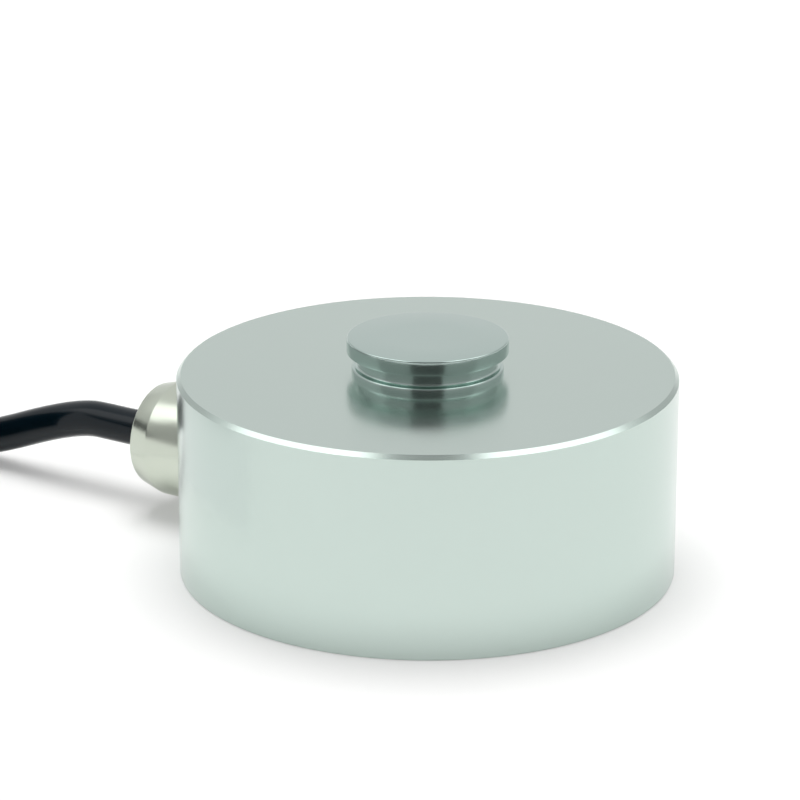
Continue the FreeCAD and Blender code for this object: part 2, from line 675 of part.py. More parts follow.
def make_gland_oring():
    """The sealing ring under the flange, pressed flat between groove and spot face."""
    body = new_body("gland_oring")
    low, high = f"({ORING_CIRCLE} - oring_width / 2)", f"({ORING_CIRCLE} + oring_width / 2)"
    top = f"({SEAT} + oring_height)"
    turn(body, "ring", (
        (f"{low} + oring_corner", SEAT),
        (f"{high} - oring_corner", SEAT),
        (high, f"{SEAT} + oring_corner"),
        (high, f"{top} - oring_corner"),
        (f"{high} - oring_corner", top),
        (f"{low} + oring_corner", top),
        (low, f"{top} - oring_corner"),
        (low, f"{SEAT} + oring_corner"),
    ))
    lay_along_cable(body)


def make_gland_seal():
    """The rubber sleeve that the cap squeezes onto the cable."""
    body = new_body("gland_seal")
    inner, outer = "(cable_radius + seal_play)", f"({SEAL_POCKET} - seal_play)"
    turn(body, "sleeve", (
        (inner, POCKET_FLOOR),
        (outer, POCKET_FLOOR),
        (outer, f"{SEAL_END} - seal_taper"),
        (f"{outer} - seal_taper / 2", SEAL_END),
        (inner, SEAL_END),
    ))
    lay_along_cable(body)


def make_gland_clamp_ring():
    """The pressure ring that keeps the turning cap off the rubber."""
    body = new_body("gland_clamp_ring")
    inner, outer = "(cable_radius + bore_play)", f"({CAP_BORE} - clamp_ring_play)"
    turn(body, "ring", (
        (inner, SEAL_END),
        (outer, SEAL_END),
        (outer, RING_END),
        (inner, RING_END),
    ))
    lay_along_cable(body)


def make_gland_cap():
    """The round cap with a tapered nose and a bell mouth."""
    body = new_body("gland_cap")
    mouth = "(cable_radius + mouth_play)"
    nose = f"({GLAND} - nose_drop)"
    blank = turn(body, "cap", (
        (f"{CAP_BORE} + flange_edge", CAP_START),
        (f"{GLAND} - flange_edge", CAP_START),
        (GLAND, f"{CAP_START} + flange_edge"),
        (GLAND, f"{CAP_END} - nose_length"),
        (nose, CAP_END),
        (f"{mouth} + mouth_flare", CAP_END),
        (mouth, f"{CAP_END} - mouth_flare"),
        (mouth, RING_END),
        (CAP_BORE, RING_END),
        (CAP_BORE, f"{CAP_START} + flange_edge"),
    ))
    round_edges(body, "nose_rim", blank, ((nose, CAP_END),), "nose_round")
    lay_along_cable(body)


def make_cable_inlet():
    """The sheathed cable where the gland holds it."""
    body = new_body("cable_inlet")
    outline = new_sketch(body, "sheath_outline", "XY_Plane", INLET_END)
    draw_circle(outline, "0", "0", "cable_radius")
    extrude(body, "sheath", outline, f"{CABLE_START} - {INLET_END}")
    lay_along_cable(body)


def rounded_route(points):
    """A wire of straight runs joined by tangent arcs, each arc as large as its two runs allow."""
    edges = []
    radii = []
    start = points[0]
    for before, corner, after in zip(points, points[1:], points[2:]):
        back, ahead = before - corner, after - corner
        reach = 0.45 * min(back.Length, ahead.Length)
        back.normalize()
        ahead.normalize()
        half_turn = (math.pi - back.getAngle(ahead)) / 2
        radii.append(reach / math.tan(half_turn))
        enter, leave = corner + back * reach, corner + ahead * reach
        inward = (back + ahead).normalize()
        centre = corner + inward * (radii[-1] / math.cos(half_turn))
        middle = centre - inward * radii[-1]
        edges.append(Part.LineSegment(start, enter).toShape())
        edges.append(Part.Arc(enter, middle, leave).toShape())
        start = leave
    edges.append(Part.LineSegment(start, points[-1]).toShape())
    return Part.Wire(edges), radii


def sweep_tube(points, radius, name):
    """A round tube along a rounded route, with its arc radii and volume ratio printed."""
    wire, radii = rounded_route(points)
    ring = Part.Circle(points[0], points[1] - points[0], radius).toShape()
    tube = wire.makePipeShell([Part.Wire([ring])], True, False)
    ratio = tube.Volume / (math.pi * radius * radius * wire.Length)
    shown = [round(arc, 1) for arc in radii]
    print(f"{name}: {wire.Length:.1f} mm, arc radii {shown}, volume ratio {ratio:.5f}")
    return tube


def keep_shape(shape, label):
    """Keep a shape made by functions as a sub-part of its own."""
    thing = doc.addObject("Part::Feature", label)
    thing.Shape = shape
    return keep(thing, label)


def make_inner_cores():
    """The four cores from the sheath's end up to their solder joints."""
    spread = value("core_spread")
    end_level = value(f"{BOARD_BASE} - joint_height")
    for colour, side, level, row in core_rows():
        height = value(GLAND_HEIGHT) + level * spread
        start = Vector(-value(INLET_END), side * spread, height)
        knee = start + Vector(value("core_straight"), 0, 0)
        foot = Vector(-value(row), side * value("joint_side"), height)
        top = Vector(foot.x, foot.y, end_level)
        name = f"inner_core_{colour}"
        keep_shape(sweep_tube([start, knee, foot, top], value("core_radius"), name), name)


def lead_route():
    """Straight out of the gland, down in a slack bend and along the floor to the coil."""
    out = value(f"{CABLE_START} + cable_run_out")
    down = out + value("cable_run_down")
    floor = down + value("cable_run_floor")
    high, low = value(GLAND_HEIGHT), value("cable_radius")
    return [
        Vector(-value(CABLE_START), 0, high),
        Vector(-out, 0, high),
        Vector(-down, 0, low),
        Vector(-floor, 0, low),
    ]


def coil_turns():
    """Diameter of the cable, inner and outer turn radius, and height of the coil."""
    diameter = 2 * value("cable_radius")
    inner_turn = value("coil_inner_turn")
    return diameter, inner_turn, inner_turn + (COIL_TURNS_ACROSS - 1) * diameter, COIL_LAYERS * diameter


def coil_centre():
    """The coil's axis: the cable runs in along y = 0 as its outermost turn."""
    outer_turn = coil_turns()[2]
    return Vector(lead_route()[-1].x - value("coil_lead_in"), -outer_turn, 0)


def on_coil(angle, radius, level):
    """A point at an angle and radius about the coil's axis."""
    around = math.radians(angle)
    return coil_centre() + Vector(radius * math.cos(around), radius * math.sin(around), level)


def tail_route():
    """Out of the coil's innermost turn, up on to its top and round on it to the loose end."""
    diameter, inner_turn, outer_turn, height = coil_turns()
    return [on_coil(angle, inner_turn + across * diameter, height + up * diameter)
            for angle, across, up in TAIL_ROUTE]


def tail_join(route):
    """Where the coil's own stretch of the tail meets the loose end: midway along a run."""
    return (route[CLIMB_POINTS - 1] + route[CLIMB_POINTS]) * 0.5


def make_cable_lead():
    """The free cable from the gland to the coil."""
    keep_shape(sweep_tube(lead_route(), value("cable_radius"), "cable_lead"), "cable_lead")


def make_cable_coil():
    """The outer shape of the coiled cable, with its lead-in and the start of its loose end."""
    diameter, inner_turn, outer_turn, height = coil_turns()
    radius = diameter / 2
    ring = Part.makeCylinder(outer_turn + radius, height, coil_centre())
    ring = ring.cut(Part.makeCylinder(inner_turn - radius, height, coil_centre()))
    rims = [edge for edge in ring.Edges if isinstance(edge.Curve, Part.Circle)]
    ring = ring.makeFillet(radius * RIM_SHARE, rims)
    entry = on_coil(90, outer_turn, radius)
    lead_in = Part.makeCylinder(radius, value("coil_lead_in"), entry, Vector(1, 0, 0))
    tail = tail_route()
    climb = sweep_tube(tail[:CLIMB_POINTS] + [tail_join(tail)], radius, "coil_climb")
    keep_shape(ring.fuse([lead_in, climb]).removeSplitter(), "cable_coil")


def make_cable_tail():
    """The loose end of the cable, lying on the coil, with its sleeve."""
    radius = value("cable_radius")
    tail = tail_route()
    keep_shape(sweep_tube([tail_join(tail)] + tail[CLIMB_POINTS:], radius, "cable_tail"), "cable_tail")
    along = (tail[-1] - tail[-2]).normalize()
    length = value("sleeve_length")
    foot = tail[-1] - along * length
    sleeve = Part.makeCylinder(radius + value("sleeve_wall"), length, foot, along)
    bore = Part.makeCylinder(radius + value("seal_play"), length, foot, along)
    keep_shape(sleeve.cut(bore), "tail_sleeve")


def tail_core_route(side, level, fan, reach):
    """A loose core's way out of the sheath's end and down on to the coil, fanning sideways."""
    tail = tail_route()
    along = (tail[-1] - tail[-2]).normalize()
    across = Vector(0, 0, 1).cross(along)
    diameter, inner_turn, outer_turn, height = coil_turns()
    rest = height + value("core_radius") + value("core_clearance")
    start = tail[-1] + (across * side + Vector(0, 0, level)) * value("core_spread")
    route = [start, start + along * (0.58 * diameter)]
    for share, lift in ((0.42, 0.31 + 0.13 * level), (0.72, 0.0), (1.0, 0.0)):
        ahead = along * (reach * share) + across * (fan * share ** 1.3)
        point = tail[-1] + ahead * diameter
        point.z = rest + lift * diameter
        route.append(point)
    return route


def make_tail_cores():
    """The four cores that come out of the loose end, with tinned tips."""
    tips = []
    for row, (colour, side, level, joint) in enumerate(core_rows()):
        route = tail_core_route(side, level, *TAIL_FANS[row])
        name = f"tail_core_{colour}"
        keep_shape(sweep_tube(route, value("core_radius"), name), name)
        ahead = (route[-1] - route[-2]).normalize()
        tips.append(Part.makeCylinder(value("tip_radius"), value("tip_length"), route[-1], ahead))
    keep_shape(Part.makeCompound(tips), "tail_tips")


def check_model():
    """Stop if any object failed or any sub-part has no valid shape."""
    for thing in doc.Objects:
        if "Invalid" in thing.State or "Error" in thing.State:
            raise RuntimeError(f"{thing.Label} failed: {thing.State}")
    for thing in parts:
        if thing.Shape.isNull() or not thing.Shape.isValid():
            raise RuntimeError(f"{thing.Label} has no valid shape")


def write_parts():
    """Write each sub-part's shape to a file named after its label."""
    os.makedirs("parts", exist_ok=True)
    for thing in parts:
        thing.Shape.exportStep(f"parts/{thing.Label}.step")
        print(f"{thing.Label}: {len(thing.Shape.Solids)} solid(s), {thing.Shape.Volume:.2f} mm3")


fill_sheet()
make_elastic_body()
make_load_button()
make_base_cover()
make_cover_gasket()
make_cover_screws()
make_terminal_board()
make_trim_resistors()
make_strain_gauges()
make_gauge_leads()
make_solder_joints()
make_gland_body()
make_gland_oring()
make_gland_seal()
make_gland_clamp_ring()
make_gland_cap()
make_cable_inlet()
make_inner_cores()
make_cable_lead()
make_cable_coil()
make_cable_tail()
make_tail_cores()
doc.recompute()
check_model()
write_parts()
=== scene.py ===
"""Button load cell: finishes of all its pieces, its cable at real length, and a small studio."""

import logging
import math
from collections.abc import Callable, Iterable, Mapping, Sequence
from dataclasses import dataclass
from enum import Enum

import bmesh
import bpy
from mathutils import Matrix, Vector


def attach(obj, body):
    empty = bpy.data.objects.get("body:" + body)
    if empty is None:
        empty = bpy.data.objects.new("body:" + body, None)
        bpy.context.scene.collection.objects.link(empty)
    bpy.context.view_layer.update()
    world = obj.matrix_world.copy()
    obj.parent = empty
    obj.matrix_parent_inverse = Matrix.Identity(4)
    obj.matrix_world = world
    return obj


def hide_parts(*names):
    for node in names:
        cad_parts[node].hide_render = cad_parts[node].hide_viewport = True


# All sizes below are in mm, and Blender's unit is the metre.
MM = 0.001
# Edges of a turned ring: the body's, and those of its milled seats.
ROUND_SEGMENTS = 256
SMALL_ROUND_SEGMENTS = 96
# Half the point angle of a twist drill.
DRILL_HALF_ANGLE = math.radians(59)
# Points nearer to each other than this are one point.
SAME_POINT_MM = 0.002

# A point of an outline: its radius and its height.
Ring = tuple[float, float]
# A lowest and a highest value, or a first and a last one.
Span = tuple[float, float]
# What a node's inputs get: plain values, or the output sockets that feed them.
Sockets = Mapping[str | int, object]

# Nearly all of a noise lies between these two levels.
NOISE_LEVELS: Span = (0.3, 0.7)

log = logging.getLogger("load_cell")
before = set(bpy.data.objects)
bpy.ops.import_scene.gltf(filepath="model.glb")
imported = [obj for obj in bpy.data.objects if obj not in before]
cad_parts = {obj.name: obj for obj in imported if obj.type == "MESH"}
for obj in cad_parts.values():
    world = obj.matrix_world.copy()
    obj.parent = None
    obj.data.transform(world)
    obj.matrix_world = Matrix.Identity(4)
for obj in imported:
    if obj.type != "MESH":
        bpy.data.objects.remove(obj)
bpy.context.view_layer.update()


def linear(hex_code: str) -> tuple[float, float, float, float]:
    """Turn an sRGB hex colour into linear light.

    Args:
        hex_code: six hexadecimal digits after a hash.

    Returns:
        Linear red, green and blue with full alpha.
    """
    levels = [int(hex_code[start:start + 2], 16) / 255 for start in (1, 3, 5)]
    # The curve of the sRGB standard.
    light = [level / 12.92 if level <= 0.04045 else ((level + 0.055) / 1.055) ** 2.4
             for level in levels]
    return (*light, 1.0)


def add_node(tree: bpy.types.NodeTree, kind: str, settings: Mapping[str, object] | None = None,
             sockets: Sockets | None = None) -> bpy.types.Node:
    """Add a node to a tree, set it up and fill its sockets.

    Args:
        tree: the node tree that gets the node.
        kind: Blender's type name of the node.
        settings: properties of the node, by name.
        sockets: what its inputs get, by name or number.

    Returns:
        The new node.
    """
    node = tree.nodes.new(kind)
    for name, setting in (settings or {}).items():
        setattr(node, name, setting)
    for name, given in (sockets or {}).items():
        if isinstance(given, bpy.types.NodeSocket):
            tree.links.new(given, node.inputs[name])
        else:
            node.inputs[name].default_value = given
    return node


def add_noise(tree: bpy.types.NodeTree, where: bpy.types.NodeSocket, size_mm: float,
              detail: float = 2.0) -> bpy.types.NodeSocket:
    """Add a noise to a material.

    Args:
        tree: the material's node tree.
        where: the coordinates.
        size_mm: size of its patches.
        detail: how many finer noises it holds.

    Returns:
        Its level, from 0 to 1.
    """
    noise = add_node(tree, "ShaderNodeTexNoise", {},
                     {"Vector": where, "Scale": 1 / (size_mm * MM), "Detail": detail})
    return noise.outputs["Fac"]


def add_uneven(tree: bpy.types.NodeTree, noise: bpy.types.NodeSocket, value: float, spread: float,
               levels: Span = (0.0, 1.0)) -> bpy.types.NodeSocket:
    """Add a value that goes up and down with a noise.

    Args:
        tree: the material's node tree.
        noise: the noise's level.
        value: the middle value.
        spread: how far it goes either way, as a share of the middle value.
        levels: the noise's levels at the lowest and the highest value.

    Returns:
        The uneven value.
    """
    uneven = add_node(tree, "ShaderNodeMapRange", {}, {
        "Value": noise, "From Min": levels[0], "From Max": levels[1],
        "To Min": value * (1 - spread), "To Max": value * (1 + spread)})
    return uneven.outputs["Result"]


def add_relief(tree: bpy.types.NodeTree, height: bpy.types.NodeSocket,
               depth_mm: float) -> bpy.types.NodeSocket:
    """Add bump to a material.

    Args:
        tree: the material's node tree.
        height: the surface's height, from 0 to 1.
        depth_mm: what a height of 1 stands for.

    Returns:
        The bumpy normal.
    """
    bump = add_node(tree, "ShaderNodeBump", {},
                    {"Height": height, "Distance": depth_mm * MM, "Strength": 1.0})
    return bump.outputs["Normal"]


def direction(azimuth: float, elevation: float) -> Vector:
    """The direction of something seen from the object.

    Args:
        azimuth: its bearing in degrees, from -Y towards +X.
        elevation: its angle above the floor in degrees.

    Returns:
        The unit vector towards it.
    """
    around, up = math.radians(azimuth), math.radians(elevation)
    return Vector((math.sin(around) * math.cos(up), -math.cos(around) * math.cos(up), math.sin(up)))


def arc(centre: Ring, radius: float, start: float, end: float, steps: int = 5) -> list[Ring]:
    """Points of a round corner in an outline.

    Args:
        centre: radius and height of the arc's centre.
        radius: radius of the corner.
        start: first angle in degrees, 0 pointing outwards and 90 up.
        end: last angle in degrees.
        steps: number of straight steps.

    Returns:
        Outline points from the first angle to the last.
    """
    angles = [math.radians(start + (end - start) * step / steps) for step in range(steps + 1)]
    return [(centre[0] + radius * math.cos(angle), centre[1] + radius * math.sin(angle))
            for angle in angles]


def make_active(piece: bpy.types.Object) -> None:
    """Select a piece alone and make it the active one.

    Args:
        piece: what the next operators work on.
    """
    bpy.ops.object.select_all(action="DESELECT")
    piece.select_set(True)
    bpy.context.view_layer.objects.active = piece


def select_where(piece: bpy.types.Object, wanted: Callable[[Vector], bool]) -> None:
    """Select only the vertices, and the edges between them, that pass a test of their place.

    Args:
        piece: the piece in edit mode.
        wanted: the test of a place in mm.
    """
    bpy.ops.mesh.select_all(action="DESELECT")
    mesh = bmesh.from_edit_mesh(piece.data)
    chosen = {vertex for vertex in mesh.verts if wanted(vertex.co / MM)}
    for part in (*mesh.verts, *mesh.edges):
        ends = (part,) if isinstance(part, bmesh.types.BMVert) else part.verts
        if chosen.issuperset(ends):
            part.select = True
    bmesh.update_edit_mesh(piece.data)


def close_ring_on_axis(height_change: float) -> None:
    """Close the selected ring with a fan that meets on the axis.

    Args:
        height_change: how far above the ring the fan's middle lies, in mm.
    """
    bpy.ops.mesh.extrude_edges_move()
    bpy.ops.mesh.merge(type="CENTER")
    bpy.ops.transform.translate(value=(0, 0, height_change * MM))


def turned(name: str, outline: Sequence[Ring], segments: int = ROUND_SEGMENTS) -> bpy.types.Object:
    """Turn an outline about +Z: a ring, extruded and resized from point to point.

    Args:
        name: name of the new piece.
        outline: radius and height of each point in mm. An end with no radius closes on the
            axis; an outline whose ends both have one closes on itself.
        segments: edges of each ring.

    Returns:
        The turned piece, in object mode.
    """
    rings = [point for point in outline if point[0] > 0]
    route = rings + rings[:1] if outline[0][0] > 0 and outline[-1][0] > 0 else rings
    bpy.ops.object.select_all(action="DESELECT")
    bpy.ops.mesh.primitive_circle_add(vertices=segments, radius=rings[0][0] * MM,
                                      location=(0, 0, rings[0][1] * MM))
    piece = bpy.context.object
    piece.name = piece.data.name = name
    bpy.ops.object.transform_apply(location=True)
    bpy.ops.object.mode_set(mode="EDIT")
    bpy.ops.mesh.select_all(action="SELECT")
    if outline[0][0] == 0:
        close_ring_on_axis(outline[0][1] - rings[0][1])
        select_where(piece, lambda spot: math.hypot(spot.x, spot.y) > rings[0][0] / 2)
    for (radius, height), (next_radius, next_height) in zip(route, route[1:]):
        bpy.ops.mesh.extrude_edges_move()
        share = next_radius / radius
        bpy.ops.transform.resize(value=(share, share, 1), center_override=(0, 0, height * MM))
        bpy.ops.transform.translate(value=(0, 0, (next_height - height) * MM))
    if outline[-1][0] == 0:
        close_ring_on_axis(outline[-1][1] - rings[-1][1])
    bpy.ops.mesh.select_all(action="SELECT")
    bpy.ops.mesh.remove_doubles(threshold=SAME_POINT_MM * MM)
    bpy.ops.mesh.normals_make_consistent(inside=False)
    bpy.ops.object.mode_set(mode="OBJECT")
    return piece


def cut_away(piece: bpy.types.Object, cutters: Iterable[bpy.types.Object]) -> None:
    """Cut closed pieces out of another and delete them.

    Args:
        piece: what is cut.
        cutters: the closed pieces to cut with.
    """
    for cutter in cutters:
        cut = piece.modifiers.new("cut", "BOOLEAN")
        cut.operation = "DIFFERENCE"
        cut.solver = "EXACT"
        cut.object = cutter
        make_active(piece)
        bpy.ops.object.modifier_apply(modifier=cut.name)
        bpy.data.objects.remove(cutter)


def place(piece: bpy.types.Object, location: Sequence[float], turn: Sequence[float] = (0, 0, 0)) -> None:
    """Turn and move a piece and keep that in its mesh.

    Args:
        piece: a piece modelled at the origin.
        location: where its origin goes, in mm.
        turn: Euler angles in radians.
    """
    piece.location = Vector(location) * MM
    piece.rotation_euler = turn
    make_active(piece)
    bpy.ops.object.transform_apply(location=True, rotation=True, scale=True)


def dress(finish: "Finish", *nodes: str) -> None:
    """Give solids that show as they are a finish; their meshes stay as they are.

    Args:
        finish: their finish.
        *nodes: names of the solids.
    """
    for node in nodes:
        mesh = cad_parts[node].data
        mesh.materials.clear()
        mesh.materials.append(finish.material())
    log.info("%s: %s", finish.name, ", ".join(nodes))


def finish_piece(piece: bpy.types.Object, finish: "Finish", slot: str,
                 *replaced: str, edge_angle: float = 25.0) -> bpy.types.Object:
    """Shade a piece, dress it and let it stand for its solids.

    Args:
        piece: the finished mesh.
        finish: its finish.
        slot: not used.
        *replaced: names of the solids that it stands for.
        edge_angle: edges sharper than this many degrees stay sharp.

    Returns:
        The same piece.
    """
    make_active(piece)
    bpy.ops.object.shade_smooth_by_angle(angle=math.radians(edge_angle))
    piece.data.materials.clear()
    piece.data.materials.append(finish.material())
    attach(piece, "root")
    if replaced:
        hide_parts(*replaced)
    log.info("%s: %d faces", piece.name, len(piece.data.polygons))
    return piece


class Lay(Enum):
    """Which way a surface was worked."""

    TURNED = "rings round the axis"
    GROUND = "straight, along X"


@dataclass(frozen=True)
class Finish:
    """A finish with one material; a subclass says what its shader gets."""

    name: str

    def sockets(self, tree: bpy.types.NodeTree, where: bpy.types.NodeSocket) -> Sockets:
        """Add the nodes that feed the shader.

        Args:
            tree: the material's node tree.
            where: the object coordinates.

        Returns:
            What the shader's inputs get.
        """
        raise NotImplementedError

    def material(self) -> bpy.types.Material:
        """The finish's one material, made on its first use."""
        material = bpy.data.materials.get(self.name)
        if material is None:
            material = bpy.data.materials.new(self.name)
            material.use_nodes = True
            tree = material.node_tree
            tree.nodes.clear()
            where = add_node(tree, "ShaderNodeTexCoord").outputs["Object"]
            shader = add_node(tree, "ShaderNodeBsdfPrincipled", sockets=self.sockets(tree, where))
            add_node(tree, "ShaderNodeOutputMaterial", sockets={"Surface": shader.outputs["BSDF"]})
        return material


@dataclass(frozen=True)
class MachinedMetal(Finish):
    """Machined bar or plate, plain or plated: fine tool marks that spread its reflections."""

    colour: str
    roughness: float
    lay: Lay = Lay.TURNED
    mark_pitch_mm: float = 0.12
    mark_depth_mm: float = 0.0004
    anisotropy: float = 0.3
    mottle: float = 0.03
    mottle_size_mm: float = 7.0
    gloss_spread: float = 0.1

    def sockets(self, tree: bpy.types.NodeTree, where: bpy.types.NodeSocket) -> Sockets:
        """Tool marks from a noise in one direction, and faint cloudiness in colour and gloss."""
        given = {"Metallic": 1.0, "Anisotropic": self.anisotropy}
        axes = add_node(tree, "ShaderNodeSeparateXYZ", sockets={0: where})
        if self.lay is Lay.TURNED:
            flat = add_node(tree, "ShaderNodeVectorMath", {"operation": "MULTIPLY"},
                            {0: where, 1: (1, 1, 0)})
            out = add_node(tree, "ShaderNodeVectorMath", {"operation": "LENGTH"}, {0: flat.outputs[0]})
            across = add_node(tree, "ShaderNodeMath", {"operation": "SUBTRACT"},
                              {0: out.outputs["Value"], 1: axes.outputs["Z"]}).outputs[0]
            around = add_node(tree, "ShaderNodeTangent", {"direction_type": "RADIAL", "axis": "Z"})
            given["Tangent"] = around.outputs[0]
        else:
            across = axes.outputs["Y"]
        marks = add_node(tree, "ShaderNodeTexNoise", {"noise_dimensions": "1D"},
                         {"W": across, "Scale": 1 / (self.mark_pitch_mm * MM), "Detail": 2.0})
        clouds = add_noise(tree, where, self.mottle_size_mm, detail=3.0)
        base = linear(self.colour)
        deep = tuple(level * (1 - self.mottle) for level in base[:3]) + (1.0,)
        tone = add_node(tree, "ShaderNodeMix", {"data_type": "RGBA"},
                        {"Factor": clouds, "A": deep, "B": base})
        given["Base Color"] = tone.outputs["Result"]
        given["Roughness"] = add_uneven(tree, clouds, self.roughness, self.gloss_spread, NOISE_LEVELS)
        given["Normal"] = add_relief(tree, marks.outputs["Fac"], self.mark_depth_mm)
        return given


@dataclass(frozen=True)
class MouldedPolymer(Finish):
    """Moulded or extruded plastic or rubber: fine orange peel and slightly uneven gloss."""

    colour: str
    roughness: float
    ior: float = 1.5
    grain_size_mm: float = 0.35
    grain_depth_mm: float = 0.004
    sheen: float = 0.0
    specular: float = 0.5
    patch_grains: float = 20.0
    wear: float = 1.25
    gloss_spread: float = 0.12

    def sockets(self, tree: bpy.types.NodeTree, where: bpy.types.NodeSocket) -> Sockets:
        """Orange peel as bump, with the gloss a little uneven over longer stretches."""
        grain = add_noise(tree, where, self.grain_size_mm)
        patches = add_noise(tree, where, self.patch_grains * self.grain_size_mm)
        base = linear(self.colour)
        worn = tuple(level * self.wear for level in base[:3]) + (1.0,)
        tone = add_node(tree, "ShaderNodeMix", {"data_type": "RGBA"},
                        {"Factor": patches, "A": base, "B": worn})
        return {
            "Base Color": tone.outputs["Result"],
            "Roughness": add_uneven(tree, patches, self.roughness, self.gloss_spread, NOISE_LEVELS),
            "Normal": add_relief(tree, grain, self.grain_depth_mm),
            "IOR": self.ior, "Specular IOR Level": self.specular, "Sheen Weight": self.sheen,
        }


# Fine-turned spring steel, nickel-plated: a pale, slightly green-grey satin mirror.
BODY_STEEL = MachinedMetal("nickel_plated_turned_steel", "#C7D5CF", 0.2)
# Fine-turned and hardened steel, a touch darker and glossier than the plated body.
BUTTON_STEEL = MachinedMetal("turned_hardened_steel", "#B9CAC5", 0.14, mark_pitch_mm=0.1)
# Cold-rolled stainless sheet: straight rolling marks under a dull gloss.
COVER_STEEL = MachinedMetal("rolled_stainless_sheet", "#BDBFBE", 0.28, Lay.GROUND, 0.08, 0.0006)
# Stainless screws, plain and turned.
SCREW_STEEL = MachinedMetal("stainless_screw_steel", "#B4B6B7", 0.24, mark_pitch_mm=0.06)
# Nickel-plated brass, polished: a warm bright mirror.
GLAND_NICKEL = MachinedMetal("polished_nickel_on_brass", "#CCD3C6", 0.24, mark_pitch_mm=0.08,
                             mark_depth_mm=0.0002, anisotropy=0.2)
# Extruded black PVC sheath: satin, with a dull highlight along its top.
SHEATH_PVC = MouldedPolymer("black_pvc_sheath", "#041118", 0.21, 1.53, specular=0.22)
# Moulded nitrile rubber of the gasket, the sealing ring and the cable seal: matt black.
SEAL_RUBBER = MouldedPolymer("moulded_nitrile_rubber", "#1C1C1B", 0.62, 1.52, 0.2, 0.006, 0.1)
# Natural nylon, slightly milky.
RING_NYLON = MouldedPolymer("natural_nylon", "#DCD8CB", 0.42, 1.53)
# Shrink sleeve: thinner and duller than the sheath.
SLEEVE_PVC = MouldedPolymer("shrink_sleeve", "#222222", 0.5, 1.5, 0.25, 0.006)


@dataclass(frozen=True)
class CoreInsulation(MouldedPolymer):
    """Thin extruded insulation of a signal core, in a plain signal colour."""


# The four cores' insulation, in the usual colours of a bridge's wires.
CORE_INSULATION = {
    colour: CoreInsulation(f"{colour}_core_insulation", code, 0.4, 1.53, 0.2, 0.002)
    for colour, code in (("red", "#B3261E"), ("black", "#1B1B1C"), ("green", "#1E7A3A"),
                         ("white", "#E6E5DF"))
}


@dataclass(frozen=True)
class BoardLaminate(Finish):
    """Glass-epoxy board under a green solder mask: the weave shows as a faint grid."""

    mask: str = "#145C2E"
    mask_over_glass: str = "#186A36"
    weave_pitch_mm: float = 0.5
    roughness: float = 0.3
    gloss_spread: float = 0.2
    cloud_mm: float = 4.0

    def sockets(self, tree: bpy.types.NodeTree, where: bpy.types.NodeSocket) -> Sockets:
        """Green mask whose tone follows the glass cloth below it."""
        weave = add_node(tree, "ShaderNodeTexChecker", {}, {
            "Vector": where, "Scale": 1 / (self.weave_pitch_mm * MM),
            "Color1": linear(self.mask), "Color2": linear(self.mask_over_glass)})
        clouds = add_noise(tree, where, self.cloud_mm)
        return {"Base Color": weave.outputs["Color"],
                "Roughness": add_uneven(tree, clouds, self.roughness, self.gloss_spread)}


@dataclass(frozen=True)
class ChipCeramic(Finish):
    """Chip resistor: dark glaze over alumina, with tinned end caps."""

    angle_deg: float
    length_mm: float = 3.2
    cap_mm: float = 0.5
    grain_mm: float = 0.3
    grain_depth_mm: float = 0.005
    roughness: float = 0.3
    glaze: str = "#1D1E22"
    tin: str = "#C9CBCC"

    def sockets(self, tree: bpy.types.NodeTree, where: bpy.types.NodeSocket) -> Sockets:
        """Tin near both ends, measured along the chip, and glaze between."""
        along = add_node(tree, "ShaderNodeMapping", {},
                         {"Vector": where, "Rotation": (0, 0, -math.radians(self.angle_deg + 90))})
        ends = add_node(tree, "ShaderNodeSeparateXYZ", sockets={0: along.outputs[0]})
        size = add_node(tree, "ShaderNodeMath", {"operation": "ABSOLUTE"}, {0: ends.outputs["X"]})
        tinned = add_node(tree, "ShaderNodeMath", {"operation": "GREATER_THAN"},
                          {0: size.outputs[0], 1: (self.length_mm / 2 - self.cap_mm) * MM})
        tone = add_node(tree, "ShaderNodeMix", {"data_type": "RGBA"}, {
            "Factor": tinned.outputs[0], "A": linear(self.glaze), "B": linear(self.tin)})
        grain = add_noise(tree, where, self.grain_mm)
        return {"Base Color": tone.outputs["Result"], "Metallic": tinned.outputs[0],
                "Roughness": self.roughness, "Normal": add_relief(tree, grain, self.grain_depth_mm)}


@dataclass(frozen=True)
class GaugeFoil(Finish):
    """Strain gauge: amber polyimide film with an etched constantan grid raised on it."""

    grid_top_mm: float
    film: str = "#B5651D"
    foil: str = "#B9A583"
    grain_mm: float = 0.2
    gloss: Span = (0.18, 0.34)

    def sockets(self, tree: bpy.types.NodeTree, where: bpy.types.NodeSocket) -> Sockets:
        """Foil below the level of the film's face, film above it."""
        axes = add_node(tree, "ShaderNodeSeparateXYZ", sockets={0: where})
        raised = add_node(tree, "ShaderNodeMath", {"operation": "LESS_THAN"},
                          {0: axes.outputs["Z"], 1: self.grid_top_mm * MM})
        tone = add_node(tree, "ShaderNodeMix", {"data_type": "RGBA"}, {
            "Factor": raised.outputs[0], "A": linear(self.film), "B": linear(self.foil)})
        grain = add_noise(tree, where, self.grain_mm)
        gloss = add_node(tree, "ShaderNodeMapRange", {},
                         {"Value": grain, "To Min": self.gloss[0], "To Max": self.gloss[1]})
        return {"Base Color": tone.outputs["Result"], "Metallic": raised.outputs[0],
                "Roughness": gloss.outputs["Result"]}


